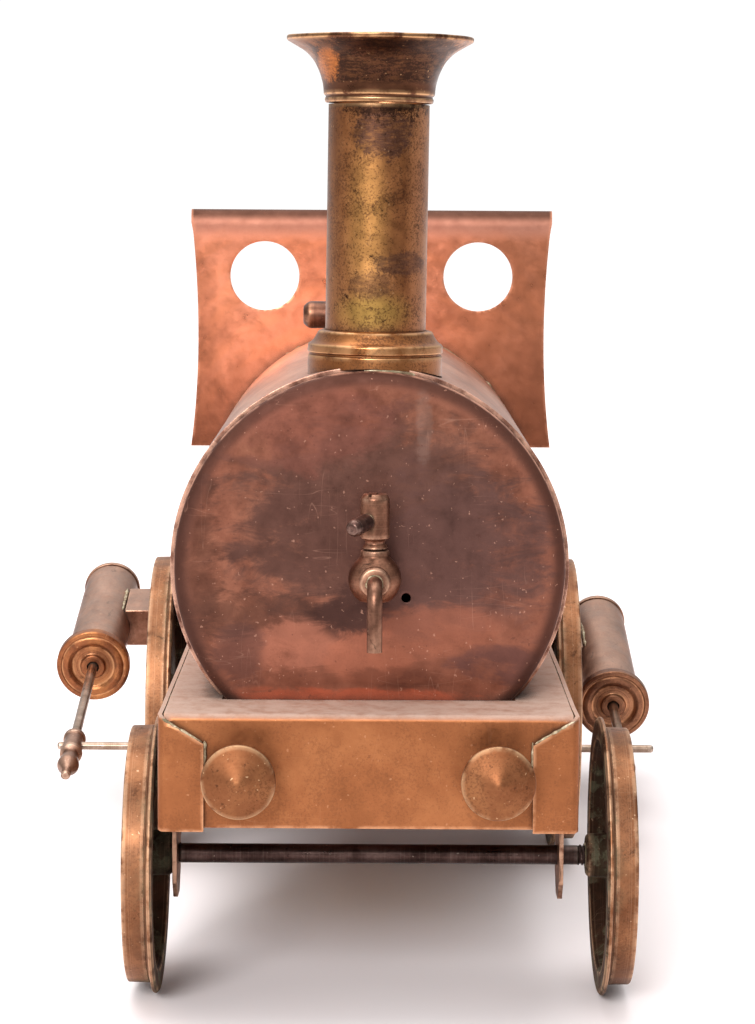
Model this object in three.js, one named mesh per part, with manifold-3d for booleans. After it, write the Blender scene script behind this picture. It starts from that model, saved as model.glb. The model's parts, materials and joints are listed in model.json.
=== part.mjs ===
// Model steam locomotive, 2-2-0, with outside oscillating cylinders.
//
// Units are millimetres and +Z is up. The engine is laid out from the outer
// face of its front beam: +Y runs rearwards from there, X is measured from the
// engine's centre plane and Z from the floor. Left (-X) and right (+X) are as
// seen by someone facing the front of the engine. The whole engine is then
// moved so that the centre of its footprint stands at the origin.

import * as THREE from "three";
import { mergeVertices } from "three/addons/utils/BufferGeometryUtils.js";
import Module from "manifold-3d";

const wasm = await Module();
wasm.setup();

// ---------------------------------------------------------------- dimensions

const GAP = 0.3;                 // running gap kept between pieces that touch
const SHEET = 0.8;               // sheet metal of the frame and weatherboard
const BOILER_SEGMENTS = 40;      // facets round the boiler and what sits on it
const SPRING_WIRE = 0.35;        // radius of the wire of every spring

const FOOTPRINT_CENTRE = { x: 4.05, y: 120.7 };   // of the finished engine

const FRAME = { halfWidth: 39.75, top: 61, bottom: 39.3, length: 250, bend: 1.4 };
const TAB = { width: 8.7, mitreDrop: 5.5, extraDepth: 0.5 };

const BOILER = { radius: 38.1, axisZ: 86.6, front: 17.2, rear: 190.3, wall: 1.0 };
const END_PLATE = { depth: 4, edge: 2.2 };
const PLATE_HOLE = { x: 7.1, below: 5.75, radius: 0.9 };

const BOARD = { y: 173, top: 154.9, waistZ: 125, bottom: 96.4, fold: 4, roof: 22 };
const BOARD_WIDTH = { top: 89.2, waist: 84.7, bottom: 88.9 };
const WINDOW = { x: 26.3, z: 138.6, radius: 8.5 };

const CHIMNEY = { x: 0.8, y: 33, leanDeg: 0.6, tubeRadius: 10, tubeBore: 9.2 };
const CHIMNEY_Z = { baseBottom: 112, baseTop: 132.1, tubeBottom: 125.4, tubeTop: 176.4, top: 189.9 };

const TAP = { x: 1, y: 9.7, z: 85.5, ballRadius: 5.1, tail: 1.9, leverDeg: 28, leverDroopDeg: 8 };
const SPOUT = { radius: 1.45, bore: 0.9, reach: 11.7, drop: 12.2, bend: 4.2 };
const REGULATOR = { y: 80, ballZ: 127.8, handleZ: 133, plug: 1.3 };
const SAFETY_VALVE = { y: 63, bush: 4, spindle: 1.1 };

const BUFFER = { x: 24.2, z: 49.7, radius: 7, rivet: 1.5 };

const FRONT_AXLE = { y: 30.1, z: 27.5, radius: 1.95, shift: 2.3 };
const FRONT_WHEEL = { flange: 27.5, tread: 25.4, width: 6.1, inner: 43.5, hub: 4.3, boss: 2.4 };
const DRIVING_AXLE = { y: 159.2, z: 36.2, radius: 2.0, shift: -1.2 };
const DRIVING_WHEEL = { flange: 36.2, tread: 34.05, width: 6, inner: 45, hub: 5, boss: 3 };
const WEB_RECESS = 1.2;          // outer face of a wheel's web below its rim

const BRACKET = { thickness: 0.9, frontWidth: 12, drivingWidth: 14, below: 8.4, taper: 3.4, play: 0.15 };

const CRANK = { radius: 17.36, pinRadius: 0.95 };
const CYLINDER = { barrel: 7.3, bore: 5.6, front: -32.6, rear: 20, flange: 9.4, flangeThick: 3 };
const PORT_PAD = { front: -8.5, rear: 8.5, halfHeight: 5 };
const PORT_PLATE = { thickness: 5, front: 219, rear: 249, below: 7.5, top: 57 };
const PORT_BOSS = { front: 238, rear: 248, bottom: 45, top: 56 };
const ROD = { radius: 1.2, pistonFromPin: 59, pistonThick: 5 };
const TRUNNION = { y: 229, pinRadius: 1.6, seat: 1.3, thread: 1.2, nutInner: 42.6, nutThick: 2 };
const STEAM = { pipe: 1.5, dropY: 199, lowZ: 50.5, teeY: 243 };

// The crank pins stand a quarter turn apart on the two driving wheels; an angle
// of 0 points rearwards and the angle grows upwards.
const SIDES = {
  left: { name: "left", sign: -1, axisX: 70.9, portX: 57.5, trunnionZ: 45.2,
    crankDeg: 213.96, pinTip: 74.6 },
  right: { name: "right", sign: 1, axisX: 62.8, portX: 54.0, trunnionZ: 36.45,
    crankDeg: 303.96, pinTip: 70.7 },
};

const BURNER = { halfWidth: 28, front: 70, rear: 146, bottom: 24, top: 33, corner: 6 };
const WICK_TUBE = { radius: 3.4, bore: 2.7, top: 39.5, wellDepth: 5, y: [84, 108, 132] };
const HANGER = { y: { front: 78, rear: 138 }, width: 6, top: 56 };

// ----------------------------------------------------------------- materials

const material = (color, roughness, metalness = 1) =>
  new THREE.MeshStandardMaterial({ color, roughness, metalness });

const copper = () => material(0xa9664a, 0.4);
const brownedCopper = () => material(0x6d4438, 0.45);
const brass = () => material(0xa5763c, 0.4);
const agedBrass = () => material(0x8a6038, 0.5);
const steel = () => material(0x4e4742, 0.55);

// ------------------------------------------------------------ solid geometry

// Merges the shared vertices of a closed surface and drops collapsed triangles.
function weld(geometry) {
  const bare = geometry.clone();
  for (const name of Object.keys(bare.attributes)) {
    if (name !== "position") bare.deleteAttribute(name);
  }
  const welded = mergeVertices(bare, 1e-4);
  const kept = [];
  const index = welded.index.array;
  for (let i = 0; i < index.length; i += 3) {
    const [a, b, c] = index.slice(i, i + 3);
    if (a !== b && b !== c && c !== a) kept.push(a, b, c);
  }
  welded.setIndex(kept);
  return welded;
}

function toManifold(geometry) {
  const { attributes, index } = weld(geometry);
  return new wasm.Manifold(new wasm.Mesh({
    numProp: 3,
    vertProperties: new Float32Array(attributes.position.array),
    triVerts: new Uint32Array(index.array),
  }));
}

function fromManifold(manifold) {
  const { vertProperties, triVerts, numProp } = manifold.getMesh();
  const positions = new Float32Array((vertProperties.length / numProp) * 3);
  for (let i = 0; i < positions.length / 3; i += 1) {
    for (let axis = 0; axis < 3; axis += 1) {
      positions[i * 3 + axis] = vertProperties[i * numProp + axis];
    }
  }
  const geometry = new THREE.BufferGeometry();
  geometry.setAttribute("position", new THREE.BufferAttribute(positions, 3));
  geometry.setIndex([...triVerts]);
  return geometry;
}

const joined = (first, ...others) => fromManifold(
  others.reduce((sum, next) => sum.add(toManifold(next)), toManifold(first)));

const cut = (body, ...tools) => fromManifold(
  tools.reduce((rest, tool) => rest.subtract(toManifold(tool)), toManifold(body)));

// A turned solid about +Z from [radius, height] points, listed from the bottom
// of the outside upwards; a profile that leaves the axis is closed on itself.
function turned(points, segments = 32) {
  const profile = points.map(([radius, height]) => new THREE.Vector2(radius, height));
  if (points[0][0] > 0 || points.at(-1)[0] > 0) profile.push(profile[0].clone());
  return new THREE.LatheGeometry(profile, segments).rotateX(Math.PI / 2);
}

const rod = (radius, from, to, segments = 20) =>
  turned([[0, from], [radius, from], [radius, to], [0, to]], segments);

// The same turned solids about the other two axes.
const alongX = (geometry) => geometry.rotateY(Math.PI / 2);
const alongY = (geometry) => geometry.rotateX(-Math.PI / 2);

function block(x, y, z) {
  return new THREE.BoxGeometry(x[1] - x[0], y[1] - y[0], z[1] - z[0])
    .translate((x[0] + x[1]) / 2, (y[0] + y[1]) / 2, (z[0] + z[1]) / 2);
}

// Extrudes an outline drawn in (y, z) across x, from `from` to `to`.
function extrudeX(outline, from, to, curveSegments = 6) {
  const geometry = new THREE.ExtrudeGeometry(outline,
    { depth: to - from, bevelEnabled: false, curveSegments });
  const basis = new THREE.Matrix4().makeBasis(
    new THREE.Vector3(0, 1, 0), new THREE.Vector3(0, 0, 1), new THREE.Vector3(1, 0, 0));
  return geometry.applyMatrix4(basis).translate(from, 0, 0);
}

// Extrudes an outline drawn in (x, z) rearwards, from y = `from` to y = `to`.
function extrudeY(outline, from, to, curveSegments = 6) {
  const geometry = new THREE.ExtrudeGeometry(outline,
    { depth: to - from, bevelEnabled: false, curveSegments });
  return geometry.rotateX(Math.PI / 2).translate(0, to, 0);
}

// Extrudes an outline drawn in (x, y) upwards.
function extrudeZ(outline, from, to, curveSegments = 6) {
  return new THREE.ExtrudeGeometry(outline,
    { depth: to - from, bevelEnabled: false, curveSegments }).translate(0, 0, from);
}

// A closed outline through corner points, each corner rounded by its radius.
function roundedOutline(corners) {
  const shape = new THREE.Shape();
  const count = corners.length;
  corners.forEach(([x, y, radius = 0], i) => {
    const here = new THREE.Vector2(x, y);
    const before = new THREE.Vector2(...corners[(i + count - 1) % count].slice(0, 2));
    const after = new THREE.Vector2(...corners[(i + 1) % count].slice(0, 2));
    const start = here.clone().add(before.sub(here).setLength(radius));
    const end = here.clone().add(after.sub(here).setLength(radius));
    if (i === 0) shape.moveTo(start.x, start.y);
    else shape.lineTo(start.x, start.y);
    if (radius > 0) shape.quadraticCurveTo(here.x, here.y, end.x, end.y);
  });
  shape.closePath();
  return shape;
}

// A pipe or wire along straight stretches with rounded corners.
function pipe(points, bendRadius, radius, bore, steps, sides = 8) {
  const path = new THREE.CurvePath();
  const corners = points.map((point) => new THREE.Vector3(...point));
  let from = corners[0];
  for (let i = 1; i < corners.length - 1; i += 1) {
    const back = corners[i - 1].clone().sub(corners[i]).setLength(bendRadius);
    const on = corners[i + 1].clone().sub(corners[i]).setLength(bendRadius);
    const start = corners[i].clone().add(back);
    const end = corners[i].clone().add(on);
    path.add(new THREE.LineCurve3(from, start));
    path.add(new THREE.QuadraticBezierCurve3(start, corners[i], end));
    from = end;
  }
  path.add(new THREE.LineCurve3(from, corners[corners.length - 1]));
  return swept(path, radius, bore, steps, sides);
}

function swept(path, radius, bore, steps, sides) {
  const section = new THREE.Shape().absarc(0, 0, radius, 0, Math.PI * 2);
  if (bore > 0) section.holes.push(new THREE.Path().absarc(0, 0, bore, 0, Math.PI * 2, true));
  return new THREE.ExtrudeGeometry(section,
    { extrudePath: path, steps, curveSegments: sides / 2, bevelEnabled: false });
}

class Helix extends THREE.Curve {
  constructor(radius, from, to, turns) {
    super();
    Object.assign(this, { radius, from, to, turns });
  }

  getPoint(t, target = new THREE.Vector3()) {
    const angle = t * this.turns * Math.PI * 2;
    return target.set(this.radius * Math.cos(angle), this.radius * Math.sin(angle),
      this.from + (this.to - this.from) * t);
  }
}

const coilSpring = (radius, wire, from, to, turns) =>
  swept(new Helix(radius, from, to, turns), wire, 0, turns * 9, 4);

// -------------------------------------------------------------- scene helpers

const engine = new THREE.Group();
engine.position.set(FOOTPRINT_CENTRE.x, -FOOTPRINT_CENTRE.y, 0);

function piece(name, geometry, finish, parent = engine) {
  const mesh = new THREE.Mesh(geometry, finish);
  mesh.name = name;
  parent.add(mesh);
  return mesh;
}

const boilerCylinder = (radius, from, to, segments = BOILER_SEGMENTS) =>
  alongY(rod(radius, from, to, segments)).translate(0, 0, BOILER.axisZ);

// --------------------------------------------------------------------- frame

// The top, with the front and rear faces folded down from it.
function makeTopPlate() {
  const inset = FRAME.halfWidth - SHEET - GAP;
  const { top, bottom, length, bend } = FRAME;
  const outline = roundedOutline([
    [0, bottom], [0, top, bend], [length, top, bend], [length, bottom],
    [length - SHEET, bottom], [length - SHEET, top - SHEET, bend - SHEET],
    [SHEET, top - SHEET, bend - SHEET], [SHEET, bottom],
  ]);
  const drop = top - SHEET - BOILER.axisZ;
  const openingHalf = Math.sqrt(BOILER.radius ** 2 - (drop + SHEET) ** 2) + GAP;
  const opening = block([-openingHalf, openingHalf],
    [BOILER.front - GAP, BOILER.rear + GAP], [top - 3, top + 3]);
  const pipeHole = rod(STEAM.pipe + GAP, top - 3, top + 3, 12).translate(0, STEAM.dropY, 0);
  const rivetHoles = [-1, 1].map((side) =>
    alongY(rod(BUFFER.rivet + GAP, -3, 3, 16)).translate(side * BUFFER.x, 0, BUFFER.z));
  piece("frame_top_plate",
    cut(extrudeX(outline, -inset, inset), opening, pipeHole, ...rivetHoles), copper());
}

// A side, with its front tab wrapped round outside the front face and its rear
// tab tucked inside the rear face.
function makeSidePlate(side) {
  const outer = FRAME.halfWidth;
  const inner = outer - SHEET;
  const front = -GAP - SHEET;
  const rearTab = FRAME.length - SHEET - GAP;
  const plan = roundedOutline([
    [outer, front, FRAME.bend], [outer, FRAME.length], [inner, FRAME.length],
    [inner, rearTab], [outer - TAB.width, rearTab], [outer - TAB.width, rearTab - SHEET],
    [inner, rearTab - SHEET], [inner, -GAP, 0.6], [outer - TAB.width, -GAP],
    [outer - TAB.width, front],
  ]);
  const bottom = FRAME.bottom - TAB.extraDepth;
  const mitre = extrudeY(roundedOutline([
    [outer + 0.05, FRAME.top], [outer + 0.05, FRAME.top + 5], [outer - TAB.width - 1, FRAME.top + 5],
    [outer - TAB.width - 1, FRAME.top - TAB.mitreDrop * (1 + 1 / TAB.width)],
  ]), front - 1, -GAP + 0.05);
  const underTop = block([0, inner], [rearTab - SHEET - 1, rearTab + 0.1],
    [FRAME.top - SHEET - GAP, FRAME.top + 1]);
  const branchHole = alongX(rod(STEAM.pipe + GAP, inner - 2, outer + 2, 12))
    .translate(0, STEAM.teeY, STEAM.lowZ);
  const plate = cut(extrudeZ(plan, bottom, FRAME.top), mitre, underTop, branchHole);
  piece(`side_plate_${side.name}`, side.sign > 0 ? plate : mirrored(plate), copper());
}

// Mirrors a geometry in the centre plane, keeping its faces pointing out.
function mirrored(geometry) {
  const flipped = geometry.clone().applyMatrix4(new THREE.Matrix4().makeScale(-1, 1, 1));
  const index = [...flipped.index.array];
  for (let i = 0; i < index.length; i += 3) {
    [index[i], index[i + 1]] = [index[i + 1], index[i]];
  }
  flipped.setIndex(index);
  return flipped;
}

// A shallow cone on a stem, riveted over behind the front face.
function makeBuffer(side) {
  const profile = [
    [0, -SHEET - 1.3], [2.6, -SHEET - 1.3], [2.6, -SHEET - GAP], [BUFFER.rivet, -SHEET - GAP],
    [BUFFER.rivet, GAP], [3.2, GAP], [2.3, 2], [2.3, 6], [BUFFER.radius, 7.2],
    [BUFFER.radius, 8.2], [0, 11.2],
  ];
  const geometry = turned(profile, 20).rotateX(Math.PI / 2)
    .translate(side.sign * BUFFER.x, 0, BUFFER.z);
  piece(`buffer_${side.name}`, geometry, agedBrass());
}

// A hanging strip with a bore for the axle and a tapered lower end.
function makeBracket(name, side, axle, width) {
  const outer = FRAME.halfWidth - SHEET - GAP;
  const low = axle.z - BRACKET.below;
  const half = width / 2;
  const outline = roundedOutline([
    [axle.y - half, FRAME.top - 4], [axle.y - half, low + BRACKET.taper, 0.8],
    [axle.y - 2.4, low, 1], [axle.y + 2.4, low, 1],
    [axle.y + half, low + BRACKET.taper, 0.8], [axle.y + half, FRAME.top - 4],
  ]);
  outline.holes.push(new THREE.Path()
    .absarc(axle.y, axle.z, axle.radius + BRACKET.play, 0, Math.PI * 2));
  const from = side.sign > 0 ? outer - BRACKET.thickness : -outer;
  piece(`${name}_${side.name}`, extrudeX(outline, from, from + BRACKET.thickness, 5), agedBrass());
}

// -------------------------------------------------------------------- boiler

// A flanged plate: a shallow cup with a rounded edge, its mouth at height 0.
function endPlateCup() {
  const { radius, wall } = BOILER;
  const { depth, edge } = END_PLATE;
  const corner = (r) => [(radius - edge) + r * Math.SQRT1_2, (depth - edge) + r * Math.SQRT1_2];
  return turned([
    [radius - wall, 0], [radius, 0], [radius, depth - edge], corner(edge), [radius - edge, depth],
    [0, depth], [0, depth - wall], [radius - edge, depth - wall], corner(edge - wall),
    [radius - wall, depth - edge],
  ], BOILER_SEGMENTS);
}

function makeBoiler() {
  const { radius, front, rear, wall, axisZ } = BOILER;
  const { depth } = END_PLATE;
  const tubeFrom = front + depth + GAP;
  const tubeTo = rear - depth - GAP;
  const skin = radius - 0.2;
  const tube = alongY(turned([[skin - wall, tubeFrom], [skin, tubeFrom],
    [skin, tubeTo], [skin - wall, tubeTo]], BOILER_SEGMENTS)).translate(0, 0, axisZ);
  const valveHole = rod(SAFETY_VALVE.bush + GAP, axisZ, axisZ + radius + 5, 20)
    .translate(0, SAFETY_VALVE.y, 0);
  piece("boiler_barrel", cut(tube, valveHole), brownedCopper());

  const frontPlate = endPlateCup().rotateX(Math.PI / 2).translate(0, front + depth, axisZ);
  const drilling = alongY(rod(PLATE_HOLE.radius, front - 2, front + 3, 12))
    .translate(PLATE_HOLE.x, 0, axisZ - PLATE_HOLE.below);
  const tapHole = alongY(rod(TAP.tail + GAP, front - 2, front + 3, 16)).translate(TAP.x, 0, TAP.z);
  piece("boiler_front_plate", cut(frontPlate, drilling, tapHole), brownedCopper());

  const rearPlate = endPlateCup().rotateX(-Math.PI / 2).translate(0, rear - depth, axisZ);
  piece("boiler_rear_plate", rearPlate, brownedCopper());
}

// A waisted sheet across the boiler with two round windows, its top edge
// rolled over backwards into a short roof.
function makeWeatherboard() {
  const { y, top, waistZ, bottom, fold, roof } = BOARD;
  const half = {
    top: BOARD_WIDTH.top / 2, waist: BOARD_WIDTH.waist / 2, bottom: BOARD_WIDTH.bottom / 2,
  };
  const front = new THREE.Shape();
  const dip = (edge) => half.waist - (edge - half.waist);
  front.moveTo(-half.bottom, bottom);
  front.lineTo(half.bottom, bottom);
  front.quadraticCurveTo(dip(half.bottom) + 0.6, waistZ - 2, half.top, top);
  front.lineTo(-half.top, top);
  front.quadraticCurveTo(-dip(half.bottom) - 0.6, waistZ - 2, -half.bottom, bottom);
  const bent = roundedOutline([
    [y, bottom], [y, top, fold], [y + roof, top], [y + roof, top - SHEET],
    [y + SHEET, top - SHEET, fold - SHEET], [y + SHEET, bottom],
  ]);
  const sheet = toManifold(extrudeX(bent, -half.top, half.top, 8));
  const trimmed = sheet.intersect(toManifold(joined(
    extrudeY(front, y - 1, y + 1.5, 12),
    block([-half.top, half.top], [y + 1.4, y + roof + 1], [top - fold - 1, top + 1]))));
  const windows = [-1, 1].map((side) =>
    alongY(rod(WINDOW.radius, y - 2, y + 3, 32)).translate(side * WINDOW.x, 0, WINDOW.z));
  const pipeHole = alongY(rod(STEAM.pipe + 0.5, y - 2, y + 3, 12)).translate(0, 0, REGULATOR.ballZ);
  piece("weatherboard", cut(fromManifold(trimmed),
    boilerCylinder(BOILER.radius + GAP, y - 3, y + 5), pipeHole, ...windows), copper());
}

// ------------------------------------------------------------------- chimney

function makeChimney() {
  const { x, y, leanDeg, tubeRadius, tubeBore } = CHIMNEY;
  const { baseBottom, baseTop, tubeBottom, tubeTop, top } = CHIMNEY_Z;
  const stack = new THREE.Group();
  stack.position.set(x, y, BOILER.axisZ + BOILER.radius);
  stack.rotation.y = THREE.MathUtils.degToRad(leanDeg);
  engine.add(stack);
  const seat = BOILER.axisZ + BOILER.radius;
  const local = (points) => points.map(([radius, height]) => [radius, height - seat]);

  const bore = tubeRadius + GAP;
  const base = turned(local([
    [bore, baseBottom], [13.3, baseBottom], [13.3, 127.3], [12.9, 127.6], [13.4, 127.9],
    [13.4, 129.3], [11.6, 130.2], [10.9, baseTop], [bore, baseTop],
  ]), 28);
  const saddle = boilerCylinder(BOILER.radius + GAP, -30, 30).translate(-x, 0, -seat);
  piece("chimney_base", cut(base, saddle.rotateY(-stack.rotation.y)), brass(), stack);

  piece("chimney_tube", turned(local([
    [tubeBore, tubeBottom], [tubeRadius, tubeBottom], [tubeRadius, tubeTop], [tubeBore, tubeTop],
  ]), 28), brass(), stack);

  const mouthOut = [[10.9, tubeTop + GAP], [11.3, 178.5], [11.9, 182.2], [13, 184.8],
    [14.7, 186.7], [18.5, 189.1]];
  const mouthIn = [[17.9, top], [13.9, 187.4], [12, 185], [10.8, 182], [tubeBore, tubeTop + GAP]];
  piece("chimney_cap", turned(local([...mouthOut, [18.5, top], ...mouthIn]), 28), brass(), stack);
}

// ----------------------------------------------------------------- water tap

function makeTap() {
  const tap = new THREE.Group();
  tap.position.set(TAP.x, TAP.y, TAP.z);
  engine.add(tap);
  const toPlate = BOILER.front - TAP.y;

  const ballPoints = [-40, -12, 16, 44].map((deg) => {
    const angle = THREE.MathUtils.degToRad(deg);
    return [TAP.ballRadius * Math.cos(angle), TAP.ballRadius * Math.sin(angle)];
  });
  const ball = turned([[0, -4.2], [2.8, -4.2], ...ballPoints, [2.7, 4.5], [2.7, 5.6], [0, 5.6]], 20);
  const shank = alongY(turned([[0, 2], [3.2, 2], [3.2, toPlate - GAP],
    [TAP.tail, toPlate - GAP], [TAP.tail, toPlate + 3], [0, toPlate + 3]], 16));
  const boss = alongY(turned([[0, -6.3], [2.6, -6.3], [3.0, -5.8], [3.0, -2], [0, -2]], 16));
  const plugWell = rod(1.8, 1, 8, 16);
  const spoutWell = alongY(rod(SPOUT.radius + GAP, -8, -4, 12));
  piece("tap_body", cut(joined(ball, shank, boss), plugWell, spoutWell), agedBrass(), tap);

  const spout = pipe([[0, -4.4, 0], [0, -SPOUT.reach, 0], [0, -SPOUT.reach, -SPOUT.drop]],
    SPOUT.bend, SPOUT.radius, SPOUT.bore, 10);
  piece("tap_spout", spout, brass(), tap);

  const key = new THREE.Group();
  key.rotation.z = THREE.MathUtils.degToRad(-TAP.leverDeg);
  tap.add(key);
  const plug = turned([
    [0, 1.4], [1.5, 1.4], [1.5, 5.9], [2.5, 5.9], [1.8, 7], [2.8, 7.9], [2.8, 15.6],
    [2.2, 16.5], [0, 16.5],
  ], 20);
  const leverTilt = THREE.MathUtils.degToRad(TAP.leverDroopDeg);
  const leverHole = rod(1.2, -0.6, 4, 12).rotateX(Math.PI / 2 + leverTilt).translate(0, 0, 11.8);
  piece("tap_plug", cut(plug, leverHole), agedBrass(), key);
  const lever = turned([
    [0, 0.4 - GAP], [0.9, 0.4 - GAP], [0.9, 2.8 + GAP], [1.65, 3.4], [1.65, 8.6],
    [1.1, 9.5], [0, 9.5],
  ], 14).rotateX(Math.PI / 2 + leverTilt).translate(0, 0, 11.8);
  piece("tap_lever", lever, steel(), key);
}

// ---------------------------------------------------- steam cock on the boiler

function makeRegulator() {
  const { y, ballZ, handleZ } = REGULATOR;
  const group = new THREE.Group();
  group.position.set(0, y, 0);
  engine.add(group);
  const body = turned([[0, 118], [5, 118], [5, 126], [2.6, 126.6], [3.2, ballZ],
    [2.4, ballZ + 3], [0, ballZ + 3]], 20);
  const outlet = alongY(rod(2.4, 1, 5, 16)).translate(0, 0, ballZ);
  const seat = boilerCylinder(BOILER.radius + GAP, -20, 20);
  const plugWell = rod(REGULATOR.plug + GAP, ballZ - 1, ballZ + 5, 14);
  const pipeWell = alongY(rod(STEAM.pipe + GAP, 3.5, 8, 12)).translate(0, 0, ballZ);
  piece("regulator_body", cut(joined(body, outlet), seat, plugWell, pipeWell), agedBrass(), group);

  const plug = turned([
    [0, ballZ - 0.6], [REGULATOR.plug, ballZ - 0.6], [REGULATOR.plug, ballZ + 3 + GAP],
    [2.5, ballZ + 3 + GAP],
    [2.7, handleZ], [1.8, handleZ + 2.6], [0, handleZ + 2.6],
  ], 16);
  const handleHole = alongX(rod(1.2, -4, 0, 12)).translate(0, 0, handleZ);
  piece("regulator_plug", cut(plug, handleHole), agedBrass(), group);
  const handle = alongX(turned([
    [0, -14.5], [1.9, -14.5], [2.9, -13.2], [2.9, -8.2], [1.1, -5], [0.9, -0.6], [0, -0.6],
  ], 16)).translate(0, 0, handleZ);
  piece("regulator_handle", handle, steel(), group);
}

// ---------------------------------------------------------------- safety valve

function makeSafetyValve() {
  const { y, bush: radius, spindle } = SAFETY_VALVE;
  const group = new THREE.Group();
  group.position.set(0, y, 0);
  engine.add(group);
  const bush = turned([[0, 119.5], [radius, 119.5], [radius, 127], [3.4, 129.4], [0, 129.4]], 20);
  const flange = turned([[0, 123], [5.5, 123], [5.5, 127.6], [0, 127.6]], 20);
  const seat = boilerCylinder(BOILER.radius - 0.2 + GAP, -20, 20);
  const skirt = cut(flange, seat);
  const bore = rod(spindle + 0.5, 110, 140, 14);
  piece("safety_valve_seat", cut(joined(skirt, bush), bore), brass(), group);
  piece("safety_valve_spindle", turned([[0, 107.4], [spindle, 107.4], [spindle, 129.7], [3.2, 129.7],
    [3.2, 130.8], [1.4, 133.4], [0, 134]], 16), brass(), group);
  piece("safety_valve_spring", coilSpring(2.3, SPRING_WIRE, 110.9, 118.8, 4), steel(), group);
  piece("safety_valve_nut", turned([[spindle + GAP, 108.2], [3, 108.2], [3, 110.2],
    [spindle + GAP, 110.2]], 6),
    brass(), group);
}

// ------------------------------------------------------------------ steam pipes

function makeSteamPipes() {
  const { pipe: radius, dropY, lowZ, teeY } = STEAM;
  const start = REGULATOR.y + 4;
  const main = pipe([[0, start, REGULATOR.ballZ], [0, dropY, REGULATOR.ballZ],
    [0, dropY, lowZ], [0, teeY - 2, lowZ]], 9, radius, 0, 44, 6);
  const tee = block([-3, 3], [teeY - 3.2, teeY + 3.2], [lowZ - 3, lowZ + 3]);
  const wells = alongX(rod(radius + GAP, -4, 4, 12)).translate(0, teeY, lowZ);
  piece("steam_pipe", cut(joined(main, tee), wells), agedBrass());
  for (const side of Object.values(SIDES)) {
    const reach = FRAME.halfWidth + GAP + 2.6;
    const branch = alongX(rod(radius, 0.4, reach, 12)).translate(0, teeY, lowZ);
    piece(`steam_branch_${side.name}`, side.sign > 0 ? branch : mirrored(weld(branch)), agedBrass());
  }
}

// -------------------------------------------------------------------- wheelsets

// A flanged wheel with a dished solid web. Height 0 is its inner (flange) face
// and the height grows outwards.
function wheel(size, axleRadius) {
  const { flange, tread, width, hub, boss } = size;
  const bore = axleRadius + GAP;
  const rim = tread - 2.7;
  const webOut = width - WEB_RECESS;
  const webIn = webOut - 1.7;
  return turned([
    [bore, -boss], [hub, -boss], [hub + 0.6, webIn - 0.4], [rim - 1, webIn], [rim + 0.3, 0],
    [flange - 0.3, 0], [flange, 0.6], [tread, 1.6], [tread - 0.2, width], [rim + 0.4, width],
    [rim - 0.4, webOut], [bore, webOut],
  ], 36);
}

function makeWheelset(name, wheelName, axle, size) {
  const set = new THREE.Group();
  set.position.set(axle.shift, axle.y, axle.z);
  engine.add(set);
  const end = size.inner + size.width - WEB_RECESS - 0.1;
  piece(name, alongX(rod(axle.radius, -end, end, 20)), steel(), set);
  const right = alongX(wheel(size, axle.radius)).translate(size.inner, 0, 0);
  piece(`${wheelName}_right`, right, brass(), set);
  piece(`${wheelName}_left`, mirrored(weld(right)), brass(), set);
}

// -------------------------------------------------- oscillating cylinder units

// The fixed plate the cylinder is pressed against, on a boss off the frame.
function makePortBlock(side) {
  const outer = side.portX - GAP;
  const inner = outer - PORT_PLATE.thickness;
  const plate = block([inner, outer], [PORT_PLATE.front, PORT_PLATE.rear],
    [side.trunnionZ - PORT_PLATE.below, PORT_PLATE.top]);
  const boss = block([FRAME.halfWidth + GAP, outer - 1],
    [PORT_BOSS.front, PORT_BOSS.rear], [PORT_BOSS.bottom, PORT_BOSS.top]);
  const pivotHole = alongX(rod(TRUNNION.pinRadius + GAP, inner - 2, outer + 2, 16))
    .translate(0, TRUNNION.y, side.trunnionZ);
  const steamWell = alongX(rod(STEAM.pipe + GAP, 38, FRAME.halfWidth + GAP + 3, 12))
    .translate(0, STEAM.teeY, STEAM.lowZ);
  const body = cut(joined(plate, boss), pivotHole, steamWell);
  piece(`port_block_${side.name}`, side.sign > 0 ? body : mirrored(body), agedBrass());
}

// Everything that rocks is drawn with the trunnion at the group's origin, its
// cylinder axis along Y, and x growing away from the engine.
function rockingGroup(side) {
  const outward = new THREE.Group();
  outward.position.set(0, TRUNNION.y, side.trunnionZ);
  outward.rotation.x = stroke(side).tilt;
  engine.add(outward);
  return outward;
}

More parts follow.
